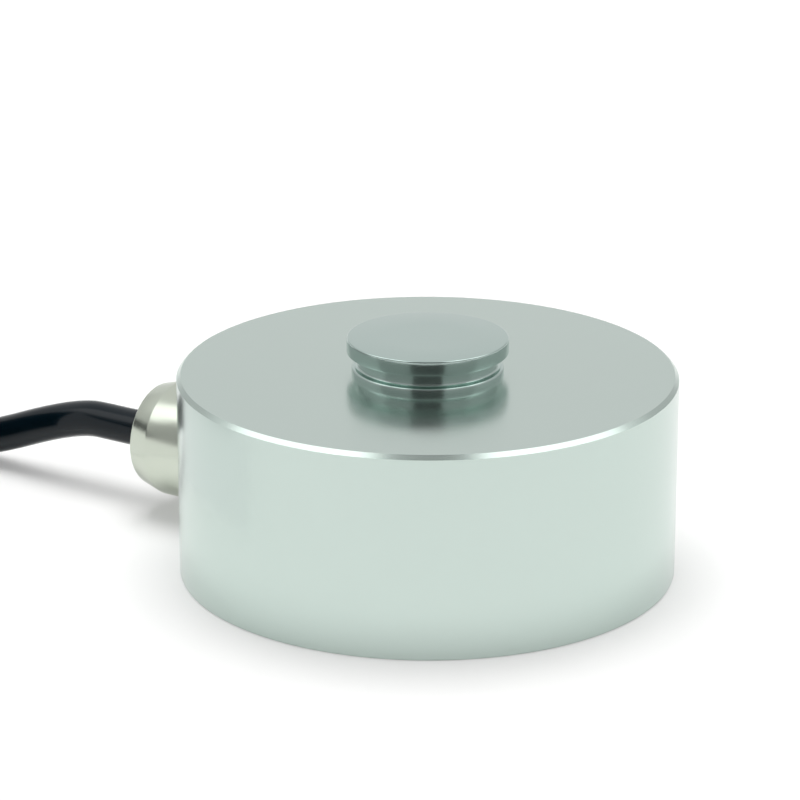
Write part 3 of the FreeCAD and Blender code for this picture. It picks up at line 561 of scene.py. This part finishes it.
@dataclass(frozen=True)
class SoftMetal(Finish):
    """Tin solder or enamelled copper: bright, softly lumpy metal."""

    colour: str
    roughness: float
    lump_mm: float = 0.4
    lump_height_mm: float = 0.02
    gloss_spread: float = 0.3

    def sockets(self, tree: bpy.types.NodeTree, where: bpy.types.NodeSocket) -> Sockets:
        """Soft lumps as bump over one metal tone, with dull patches."""
        lumps = add_noise(tree, where, self.lump_mm)
        return {"Base Color": linear(self.colour), "Metallic": 1.0,
                "Roughness": add_uneven(tree, lumps, self.roughness, self.gloss_spread),
                "Normal": add_relief(tree, lumps, self.lump_height_mm)}


# Tinned solder joints and wire ends: bright and a little lumpy.
TIN_SOLDER = SoftMetal("tin_solder", "#C4C6C7", 0.28)
# Enamelled copper wire: reddish and glossy.
LEAD_COPPER = SoftMetal("enamelled_copper", "#B4643A", 0.3)
# Etched foil gauge on polyimide film: amber, with a pale metal grid.
GAUGE_FOIL = GaugeFoil("polyimide_gauge_foil", 21.4975)
# Glass-epoxy board with a green mask over its copper.
BOARD_LAMINATE = BoardLaminate("green_glass_epoxy")


@dataclass
class SprungBody:
    """The turned body: wall, web and boss in one piece, with its port and holes."""

    wall: float = 34.0
    height: float = 28.1
    recess: float = 25.0
    cavity: float = 20.0
    upper_cavity: float = 18.5
    boss: float = 9.5
    boss_base: float = 3.2
    web_base: float = 21.6
    board_top: float = 18.2
    ledge: float = 2.5
    web_root: float = 1.0
    small_edge: float = 0.4
    top_edge: float = 0.56
    base_edge: float = 0.25
    button_hole: float = 6.0
    button_hole_floor: float = 15.1
    gland_height: float = 10.4
    port: float = 5.8
    spot: float = 8.4
    spot_seat: float = 32.804
    bolt_circle: float = 29.5
    bolt_hole: float = 2.1
    bolt_depth: float = 10.0
    screw_circle: float = 22.5
    screw_hole: float = 1.03
    screw_depth: float = 4.3
    bolts: int = 4
    first_bolt: float = 45.0
    screws: int = 6
    first_screw: float = 30.0
    # Lengths by which cutters stand clear of the boss, the wall and the face they enter.
    port_clearance: float = 5.0
    mill_overlap: float = 2.0
    drill_overlap: float = 1.0
    drill_segments: int = 48
    # Extra rings that keep the long faces of the top and the wall even.
    top_ring_share: float = 0.6
    wall_band: float = 2.0
    spot_margin: float = 0.6

    def outline(self) -> list[Ring]:
        """The body's outline, from the bottom of the button's hole round to the boss."""
        cone = self.button_hole / math.tan(DRILL_HALF_ANGLE)
        wall_levels = [self.height - self.top_edge - self.wall_band,
                       self.gland_height + self.spot + self.spot_margin,
                       self.gland_height - self.spot - self.spot_margin]
        root = self.web_root
        return [
            (0, self.button_hole_floor - cone),
            (self.button_hole, self.button_hole_floor),
            (self.button_hole, self.height - self.small_edge),
            (self.button_hole + self.small_edge, self.height),
            (self.wall * self.top_ring_share, self.height),
            (self.wall - self.top_edge, self.height),
            (self.wall, self.height - self.top_edge),
            *[(self.wall, level) for level in wall_levels],
            *arc((self.wall - self.base_edge, self.base_edge), self.base_edge, 0, -90, 3),
            (self.recess + self.small_edge, 0),
            (self.recess, self.small_edge),
            (self.recess, self.ledge),
            (self.cavity, self.ledge),
            (self.cavity, self.board_top),
            (self.upper_cavity, self.board_top),
            *arc((self.upper_cavity - root, self.web_base - root), root, 0, 90, 4),
            *arc((self.boss + root, self.web_base - root), root, 90, 180, 4),
            (self.boss, self.boss_base + self.small_edge),
            (self.boss - self.small_edge, self.boss_base),
            (0, self.boss_base),
        ]

    def drill(self, radius: float, depth: float, floor: float, circle: float,
              angle: float) -> bpy.types.Object:
        """A cutter for one drilled hole from below.

        Args:
            radius: radius of the drill.
            depth: depth of the full bore.
            floor: height that the hole starts at.
            circle: radius of the circle that the hole is on.
            angle: its angle on that circle in degrees.

        Returns:
            The closed cutter.
        """
        tip = radius / math.tan(DRILL_HALF_ANGLE)
        below = -self.drill_overlap
        outline = [(0, below), (radius, below), (radius, depth), (0, depth + tip)]
        bit = turned("drill", outline, self.drill_segments)
        around = math.radians(angle)
        place(bit, (circle * math.cos(around), circle * math.sin(around), floor))
        return bit

    def mill(self, radius: float, start: float, end: float) -> bpy.types.Object:
        """A round cutter along the gland's axis.

        Args:
            radius: radius of the cutter.
            start: where it starts, as a distance from the body's axis.
            end: where it ends.

        Returns:
            The closed cutter.
        """
        outline = [(0, start), (radius, start), (radius, end), (0, end)]
        bit = turned("mill", outline, SMALL_ROUND_SEGMENTS)
        place(bit, (0, 0, self.gland_height), (0, -math.pi / 2, 0))
        return bit

    def build(self) -> bpy.types.Object:
        """Turn the body, cut its port, spot face and holes, and dress it."""
        body = turned("sprung_body", self.outline())
        outside = self.wall + self.mill_overlap
        cutters = [self.mill(self.port, self.boss + self.port_clearance, outside),
                   self.mill(self.spot, self.spot_seat, outside)]
        for number in range(self.bolts):
            angle = self.first_bolt + 360 / self.bolts * number
            cutters.append(self.drill(self.bolt_hole, self.bolt_depth, 0, self.bolt_circle, angle))
        for number in range(self.screws):
            angle = self.first_screw + 360 / self.screws * number
            cutters.append(self.drill(self.screw_hole, self.screw_depth, self.ledge,
                                      self.screw_circle, angle))
        cut_away(body, cutters)
        return finish_piece(body, BODY_STEEL, "body_steel", "elastic_body")


@dataclass
class LoadButton:
    """The button that takes the load: spigot, collar, undercut neck and flat head."""

    seat: float = 28.1
    spigot: float = 5.95
    spigot_length: float = 12.0
    spigot_edge: float = 0.8
    collar: float = 10.3
    collar_height: float = 0.9
    collar_edge: float = 0.35
    neck: float = 9.5
    neck_root: float = 0.35
    head: float = 10.97
    head_base: float = 30.94
    head_top: float = 33.03
    head_edge: float = 0.26
    under_edge: float = 0.14
    head_ring_share: float = 0.5
    segments: int = 192

    def outline(self) -> list[Ring]:
        """The button's outline from the spigot's end up to the middle of the head."""
        bottom, collar_top = self.seat - self.spigot_length, self.seat + self.collar_height
        root, rim = self.neck_root, self.collar_edge
        lip, edge = self.under_edge, self.head_edge
        return [
            (0, bottom),
            (self.spigot - self.spigot_edge, bottom),
            (self.spigot, bottom + self.spigot_edge),
            (self.spigot, self.seat),
            (self.collar, self.seat),
            *arc((self.collar - rim, collar_top - rim), rim, 0, 90, 4),
            *arc((self.neck + root, collar_top + root), root, 270, 180, 4),
            *arc((self.neck + root, self.head_base - root), root, 180, 90, 4),
            *arc((self.head - lip, self.head_base + lip), lip, 270, 360, 3),
            *arc((self.head - edge, self.head_top - edge), edge, 0, 90, 5),
            (self.head * self.head_ring_share, self.head_top),
            (0, self.head_top),
        ]

    def build(self) -> bpy.types.Object:
        """Turn the button and dress it."""
        button = turned("load_button_turned", self.outline(), self.segments)
        return finish_piece(button, BUTTON_STEEL, "button_steel", "load_button")


@dataclass
class CableGland:
    """The gland: threaded body with its flange, and the round cap with a tapered nose."""

    height: float = 10.4
    seat: float = 32.804
    radius: float = 8.25
    spigot: float = 5.75
    spigot_length: float = 8.8
    flange: float = 1.8
    edge: float = 0.15
    thread: float = 6.4
    thread_length: float = 6.2
    pocket: float = 4.6
    pocket_depth: float = 5.6
    bore: float = 2.75
    cap_bore: float = 6.45
    cap_gap: float = 0.1
    cap_length: float = 10.7
    nose_length: float = 3.4
    nose_drop: float = 0.94
    nose_round: float = 0.45
    mouth: float = 3.15
    mouth_flare: float = 1.0
    ring_end: float = 42.204
    spigot_edge: float = 0.4
    shoulder_round: float = 0.6
    segments: int = 160

    def body_outline(self) -> list[Ring]:
        """Outline of the gland's body, distances out along the cable."""
        flange_end = self.seat + self.flange
        thread_end = flange_end + self.thread_length
        floor = thread_end - self.pocket_depth
        start = self.seat - self.spigot_length
        return [
            (self.bore, start),
            (self.spigot - self.spigot_edge, start),
            (self.spigot, start + self.spigot_edge),
            (self.spigot, self.seat),
            (self.radius, self.seat),
            *arc((self.radius - self.edge, flange_end - self.edge), self.edge, 0, 90, 3),
            (self.thread, flange_end),
            (self.thread, thread_end),
            (self.pocket, thread_end),
            (self.pocket, floor),
            (self.bore, floor),
        ]

    def cap_outline(self) -> list[Ring]:
        """Outline of the cap, distances out along the cable."""
        start = self.seat + self.flange + self.cap_gap
        end = start + self.cap_length
        nose = self.radius - self.nose_drop
        lean = math.degrees(math.atan2(self.nose_drop, self.nose_length))
        shoulder = end - self.nose_length
        # The rounded rim touches the leaning cone and the flat front.
        slope = math.radians(lean)
        middle = (nose - self.nose_round * (1 / math.cos(slope) - math.tan(slope)),
                  end - self.nose_round)
        return [
            (self.cap_bore, start + self.edge),
            (self.cap_bore + self.edge, start),
            *arc((self.radius - self.edge, start + self.edge), self.edge, 270, 360, 3),
            *arc((self.radius - self.shoulder_round, shoulder), self.shoulder_round, 0, lean, 3),
            *arc(middle, self.nose_round, lean, 90, 6),
            (self.mouth + self.mouth_flare, end),
            *arc((self.mouth + self.mouth_flare, end - self.mouth_flare), self.mouth_flare, 90, 180, 6),
            (self.mouth, self.ring_end),
            (self.cap_bore, self.ring_end),
        ]

    def build(self) -> list[bpy.types.Object]:
        """Turn both pieces, lay them along the cable and dress them and the seals inside."""
        pieces = []
        for name, outline, node in (("gland_body_turned", self.body_outline(), "gland_body"),
                                    ("gland_cap_turned", self.cap_outline(), "gland_cap")):
            piece = turned(name, outline, self.segments)
            place(piece, (0, 0, self.height), (0, -math.pi / 2, 0))
            pieces.append(finish_piece(piece, GLAND_NICKEL, "gland_brass", node, edge_angle=30))
        dress(SEAL_RUBBER, "gland_oring", "gland_seal")
        dress(RING_NYLON, "gland_clamp_ring")
        dress(SHEATH_PVC, "cable_inlet")
        return pieces


@dataclass
class SignalCable:
    """The sheathed cable: out of the gland, along the floor and put away in a round coil."""

    diameter: float = 5.2
    exit_out: float = 44.404
    exit_height: float = 10.4
    runs: tuple[float, ...] = (15.6, 19.0, 7.5)
    lead_in: float = 19.6
    inner_turn: float = 21.2
    across: int = 4
    layers: int = 5
    points_per_turn: int = 16
    climb: float = 60.0
    entry_angle: float = 90.0
    # Angle about the coil's axis, then diameters out from the innermost turn and up from its top.
    loose_end: tuple[tuple[float, float, float], ...] = (
        (124, 0.22, 0.35),
        (156, 0.7, 0.66),
        (186, 1.1, 0.66),
        (216, 1.15, 0.66),
        (246, 0.85, 0.66),
    )
    sleeve_wall: float = 0.5
    sleeve_length: float = 7.0
    line_steps: int = 8
    sheath_facets: int = 8
    sleeve_facets: int = 10

    def centre(self) -> Vector:
        """The coil's axis on the floor."""
        outer_turn = self.inner_turn + (self.across - 1) * self.diameter
        return Vector((-self.exit_out - sum(self.runs) - self.lead_in, -outer_turn, 0))

    def on_coil(self, angle: float, out: float, level: float) -> Vector:
        """A point of the coil.

        Args:
            angle: its bearing from the coil's axis in degrees, from +X towards +Y.
            out: its distance from the coil's axis in mm.
            level: its height in mm.

        Returns:
            The point in mm.
        """
        around = math.radians(angle)
        return self.centre() + Vector((out * math.cos(around), out * math.sin(around), level))

    def lead(self) -> list[Vector]:
        """The route's points from the gland to the coil."""
        low = self.diameter / 2
        ends = [self.exit_out + sum(self.runs[:count]) for count in range(len(self.runs) + 1)]
        # A point midway along the first run keeps it straight, as the cable leaves the gland.
        level = [-ends[0], -(ends[0] + ends[1]) / 2, -ends[1]]
        return [*(Vector((out, 0, self.exit_height)) for out in level),
                Vector((-ends[2], 0, low)), Vector((-ends[3], 0, low))]

    def turns(self) -> list[Vector]:
        """Points of the coil: each layer a flat spiral, inwards and outwards by turns."""
        layer_angle = 360.0 * (self.across - 1)
        step_angle = 360.0 / self.points_per_turn
        # A spline of this order runs inside its points, so they stand out by this share.
        stand_out = 1 / math.cos(math.pi / self.points_per_turn)
        points = []
        for step in range(int(self.layers * layer_angle / step_angle) + 1):
            swept = step * step_angle
            layer, inside = divmod(swept, layer_angle)
            share = inside / layer_angle
            inward = share if int(layer) % 2 == 0 else 1 - share
            out = self.inner_turn + (1 - inward) * (self.across - 1) * self.diameter
            level = self.diameter * (0.5 + self.risen(swept, layer_angle))
            points.append(self.on_coil(self.entry_angle + swept, out * stand_out, level))
        return points

    def risen(self, swept: float, layer_angle: float) -> float:
        """Layers climbed so far, with an even climb at the end of each layer.

        Args:
            swept: the angle swept since the coil's start, in degrees.
            layer_angle: the angle that one layer takes.

        Returns:
            The number of layers, a fraction during a climb.
        """
        climbed = 0.0
        for layer in range(1, self.layers):
            share = (swept - layer * layer_angle + self.climb) / (2 * self.climb)
            share = min(1.0, max(0.0, share))
            climbed += share * share * (3 - 2 * share)
        return climbed

    def tail(self) -> list[Vector]:
        """The route's points from the coil's last turn to the loose end, lying on the coil."""
        top = self.layers * self.diameter
        return [self.on_coil(angle, self.inner_turn + out * self.diameter, top + up * self.diameter)
                for angle, out, up in self.loose_end]

    def line(self, name: str, kind: str, route: Sequence[Vector]) -> bpy.types.Object:
        """A curve of one open spline, without thickness.

        Args:
            name: name of the curve and its object.
            kind: Blender's type name of the spline.
            route: its points in metres.

        Returns:
            The curve's object.
        """
        curve = bpy.data.curves.new(name, "CURVE")
        curve.dimensions = "3D"
        spline = curve.splines.new(kind)
        spline.points.add(len(route) - 1)
        for point, spot in zip(spline.points, route):
            point.co = (*spot, 1.0)
        bare = bpy.data.objects.new(name, curve)
        bpy.context.scene.collection.objects.link(bare)
        return bare

    def cable(self) -> bpy.types.Object:
        """The whole cable's line, rounded between its points."""
        route = self.lead() + self.turns() + self.tail()
        cable = self.line("signal_cable", "NURBS", [spot * MM for spot in route])
        spline = cable.data.splines[0]
        spline.order_u = 3
        spline.use_endpoint_u = True
        spline.resolution_u = self.line_steps
        return cable

    def centreline(self, cable: bpy.types.Object) -> list[Vector]:
        """Read the cable's middle from its spline, before it has any thickness.

        Args:
            cable: the curve's object.

        Returns:
            The middle's points in metres.
        """
        mesh = bpy.data.meshes.new_from_object(cable)
        points = [vertex.co.copy() for vertex in mesh.vertices]
        bpy.data.meshes.remove(mesh)
        return points

    def sleeve(self, points: Sequence[Vector]) -> bpy.types.Object:
        """The shrink sleeve on the last millimetres of the cable.

        Args:
            points: the cable's middle in metres.

        Returns:
            The sleeve.
        """
        kept, length = [points[-1]], 0.0
        for near, far in zip(reversed(points), reversed(points[:-1])):
            length += (far - near).length
            kept.append(far)
            if length >= self.sleeve_length * MM:
                break
        tube = self.line("sleeve_line", "POLY", kept)
        tube.data.bevel_depth = (self.diameter / 2 + self.sleeve_wall) * MM
        tube.data.bevel_resolution = self.sleeve_facets
        tube.data.use_fill_caps = True
        mesh = bpy.data.meshes.new_from_object(tube)
        bpy.data.objects.remove(tube)
        piece = bpy.data.objects.new("tail_sleeve_shrunk", mesh)
        bpy.context.scene.collection.objects.link(piece)
        return finish_piece(piece, SLEEVE_PVC, "sleeve", "tail_sleeve", edge_angle=40)

    def build(self) -> bpy.types.Object:
        cable = self.cable()
        points = self.centreline(cable)
        length = sum((after - before).length for before, after in zip(points, points[1:]))
        log.info("signal_cable: %.3f m", length)
        sleeve = self.sleeve(points)
        cable.data.bevel_depth = self.diameter / 2 * MM
        cable.data.bevel_resolution = self.sheath_facets
        cable.data.use_fill_caps = True
        cable.data.materials.append(SHEATH_PVC.material())
        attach(cable, "root")
        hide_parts("cable_lead", "cable_coil", "cable_tail")
        for colour, insulation in CORE_INSULATION.items():
            dress(insulation, f"tail_core_{colour}")
        dress(TIN_SOLDER, "tail_tips")
        return cable


@dataclass
class BaseCover:
    """The cover under the body, with its gasket and screws, shown as their solids."""

    cover: Finish = COVER_STEEL
    gasket: Finish = SEAL_RUBBER
    screws: Finish = SCREW_STEEL

    def build(self) -> None:
        """Dress the three solids."""
        dress(self.cover, "base_cover")
        dress(self.gasket, "cover_gasket")
        dress(self.screws, "cover_screws")


@dataclass
class GaugeChamber:
    """What is under the web: strain gauges, board, resistors, joints and cores."""

    gauges: int = 4
    resistor_angles: tuple[float, ...] = (60.0, 120.0, 240.0, 300.0)

    def build(self) -> None:
        """Dress the gauges with their wires, and the board with all that is soldered to it."""
        dress(GAUGE_FOIL, *(f"strain_gauge_{number}" for number in range(1, self.gauges + 1)))
        dress(LEAD_COPPER, "gauge_leads")
        dress(BOARD_LAMINATE, "terminal_board")
        dress(TIN_SOLDER, "solder_joints")
        for number, angle in enumerate(self.resistor_angles, start=1):
            dress(ChipCeramic(f"glazed_alumina_{number}", angle), f"trim_resistor_{number}")
        for colour, insulation in CORE_INSULATION.items():
            dress(insulation, f"inner_core_{colour}")


@dataclass(frozen=True)
class Card:
    """A curved card that only reflections see, so that metal has something to mirror.

    Bearings are in degrees to the right of the camera's, elevations above the floor; a level
    of 1 is white.
    """

    name: str
    bearings: Span
    elevations: Span
    level: float
    distance: float = 1.5
    steps: int = 24

    def build(self, azimuth: float) -> None:
        """Stand the card round the object.

        Args:
            azimuth: the camera's bearing in degrees.
        """
        low, high = (math.tan(math.radians(angle)) * self.distance for angle in self.elevations)
        bpy.ops.object.select_all(action="DESELECT")
        bpy.ops.mesh.primitive_grid_add(x_subdivisions=self.steps, y_subdivisions=1, size=1)
        card = bpy.context.object
        card.name = self.name
        start, end = self.bearings
        for vertex in card.data.vertices:
            around = math.radians(azimuth + start + (end - start) * (vertex.co.x + 0.5))
            up = low + (high - low) * (vertex.co.y + 0.5)
            vertex.co = (math.sin(around) * self.distance, -math.cos(around) * self.distance, up)
        paint = bpy.data.materials.new(self.name)
        paint.use_nodes = True
        paint.node_tree.nodes.clear()
        glow = add_node(paint.node_tree, "ShaderNodeEmission", {}, {"Strength": self.level})
        add_node(paint.node_tree, "ShaderNodeOutputMaterial", sockets={"Surface": glow.outputs[0]})
        card.data.materials.append(paint)
        card.visible_camera = card.visible_diffuse = card.visible_shadow = False
        card.visible_transmission = False


@dataclass
class Studio:
    """White floor and surroundings, a softbox overhead, cards to mirror, and the camera."""

    azimuth: float = 32.35
    elevation: float = 20.13
    distance: float = 501.32
    aim_height: float = 14.04
    pan: float = 0.431
    tilt: float = 1.065
    roll: float = 0.202
    lens: float = 165.07
    softbox_size: float = 0.75
    softbox_distance: float = 1.0
    softbox_elevation: float = 83.0
    softbox_power: float = 9.9
    fill: float = 0.54
    floor_glow: float = 0.26
    floor_size: float = 6.0
    # How far from the middle, in metres, the floor's glow starts to rise and reaches white.
    floor_fade: Span = (0.3, 0.8)
    floor_colour: str = "#F4F4F3"
    clip: Span = (0.01, 20.0)
    floor_drop_mm: float = 0.02
    cards: tuple[Card, ...] = (
        Card("dark_front", (-24, 24), (0, 34), 0.1),
        Card("dark_above", (-38, 38), (34, 76), 0.4),
        Card("grey_near_left", (-74, -24), (0, 46), 0.43),
        Card("grey_near_right", (24, 74), (0, 46), 0.5),
        Card("grey_far_left", (-150, -74), (0, 28), 0.6),
        Card("grey_far_right", (74, 150), (0, 28), 0.6),
        Card("bright_near_left", (-74, -42), (48, 78), 2.1),
        Card("bright_near_right", (42, 74), (48, 78), 2.1),
        Card("bright_far_left", (-112, -74), (34, 72), 1.9),
        Card("bright_far_right", (74, 112), (34, 72), 1.9),
        # Beside the coil, so that the body's side mirrors a pale card in front of it.
        Card("white_by_coil", (-118, -66), (0, 14), 1.02, 0.064),
    )

    def camera(self) -> None:
        """Stand the camera where the photograph was taken from."""
        sensor = bpy.data.cameras.new("camera")
        sensor.lens = self.lens
        sensor.clip_start, sensor.clip_end = self.clip
        camera = bpy.data.objects.new("camera", sensor)
        bpy.context.scene.collection.objects.link(camera)
        around, up = math.radians(self.azimuth), math.radians(self.elevation)
        back = direction(self.azimuth, self.elevation)
        turn = Matrix.Rotation(around, 3, "Z") @ Matrix.Rotation(math.pi / 2 - up, 3, "X")
        for angle, axis in ((self.pan, "Y"), (self.tilt, "X"), (self.roll, "Z")):
            turn = turn @ Matrix.Rotation(math.radians(angle), 3, axis)
        spot = back * self.distance + Vector((0, 0, self.aim_height))
        camera.matrix_world = Matrix.Translation(spot * MM) @ turn.to_4x4()
        bpy.context.scene.camera = camera

    def softbox(self) -> None:
        """One softbox, overhead and a little behind, so that the shadow falls to the front."""
        lamp = bpy.data.lights.new("softbox", "AREA")
        lamp.shape = "SQUARE"
        lamp.size = self.softbox_size
        lamp.energy = self.softbox_power
        box = bpy.data.objects.new("softbox", lamp)
        bpy.context.scene.collection.objects.link(box)
        out = direction(self.azimuth + 180, self.softbox_elevation)
        box.location = out * self.softbox_distance
        box.rotation_mode = "QUATERNION"
        box.rotation_quaternion = out.to_track_quat("Z", "Y")
        # Metal mirrors the cards instead.
        box.visible_glossy = False

    def seen_directly(self, tree: bpy.types.NodeTree) -> bpy.types.NodeSocket:
        """Tell rays that show a surface from those that only light something with it.

        Args:
            tree: a node tree of the floor or the world.

        Returns:
            One where a ray comes from the camera, a reflection or clear matter, else zero.
        """
        path = add_node(tree, "ShaderNodeLightPath")
        seen = add_node(tree, "ShaderNodeMath", {"operation": "MAXIMUM"},
                        {0: path.outputs["Is Camera Ray"], 1: path.outputs["Is Glossy Ray"]})
        return add_node(tree, "ShaderNodeMath", {"operation": "MAXIMUM"},
                        {0: seen.outputs[0], 1: path.outputs["Is Transmission Ray"]}).outputs[0]

    def world(self) -> None:
        """White surroundings for the camera and for metal, and a softer fill for the rest."""
        world = bpy.data.worlds.new("surroundings")
        world.use_nodes = True
        tree = world.node_tree
        tree.nodes.clear()
        level = add_node(tree, "ShaderNodeMapRange", {},
                         {"Value": self.seen_directly(tree), "To Min": self.fill, "To Max": 1.0})
        light = add_node(tree, "ShaderNodeBackground", {}, {"Strength": level.outputs["Result"]})
        add_node(tree, "ShaderNodeOutputWorld", sockets={"Surface": light.outputs[0]})
        bpy.context.scene.world = world

    def floor(self) -> None:
        """A pale floor that stays white round the object and keeps its shadow."""
        bpy.ops.object.select_all(action="DESELECT")
        bpy.ops.mesh.primitive_plane_add(size=self.floor_size,
                                         location=(0, 0, -self.floor_drop_mm * MM))
        floor = bpy.context.object
        floor.name = "floor"
        material = bpy.data.materials.new("white_table")
        material.use_nodes = True
        tree = material.node_tree
        tree.nodes.clear()
        # The lamp lights the floor less, the farther out it is, so it glows more there.
        where = add_node(tree, "ShaderNodeTexCoord")
        out = add_node(tree, "ShaderNodeVectorMath", {"operation": "LENGTH"},
                       {0: where.outputs["Object"]})
        glow = add_node(tree, "ShaderNodeMapRange", {}, {
            "Value": out.outputs["Value"], "To Min": self.floor_glow, "To Max": 1.0,
            "From Min": self.floor_fade[0], "From Max": self.floor_fade[1]})
        share = add_node(tree, "ShaderNodeMath", {"operation": "MULTIPLY"},
                         {0: self.seen_directly(tree), 1: glow.outputs["Result"]})
        paint = add_node(tree, "ShaderNodeBsdfDiffuse", {}, {"Color": linear(self.floor_colour)})
        white = add_node(tree, "ShaderNodeEmission", {}, {"Strength": 1.0})
        both = add_node(tree, "ShaderNodeMixShader", {},
                        {0: share.outputs[0], 1: paint.outputs[0], 2: white.outputs[0]})
        add_node(tree, "ShaderNodeOutputMaterial", sockets={"Surface": both.outputs[0]})
        floor.data.materials.append(material)

    def build(self) -> None:
        """Set up camera, light, cards and floor."""
        self.camera()
        self.softbox()
        for card in self.cards:
            card.build(self.azimuth)
        self.world()
        self.floor()
        bpy.context.scene.view_settings.view_transform = "Standard"
        log.info("studio ready")


def main() -> None:
    """Build every piece in order."""
    logging.basicConfig(level=logging.INFO, format="%(name)s %(message)s")
    for assembly in (Studio(), SprungBody(), LoadButton(), CableGland(), BaseCover(), GaugeChamber(),
                     SignalCable()):
        assembly.build()


if __name__ == "__main__":
    main()
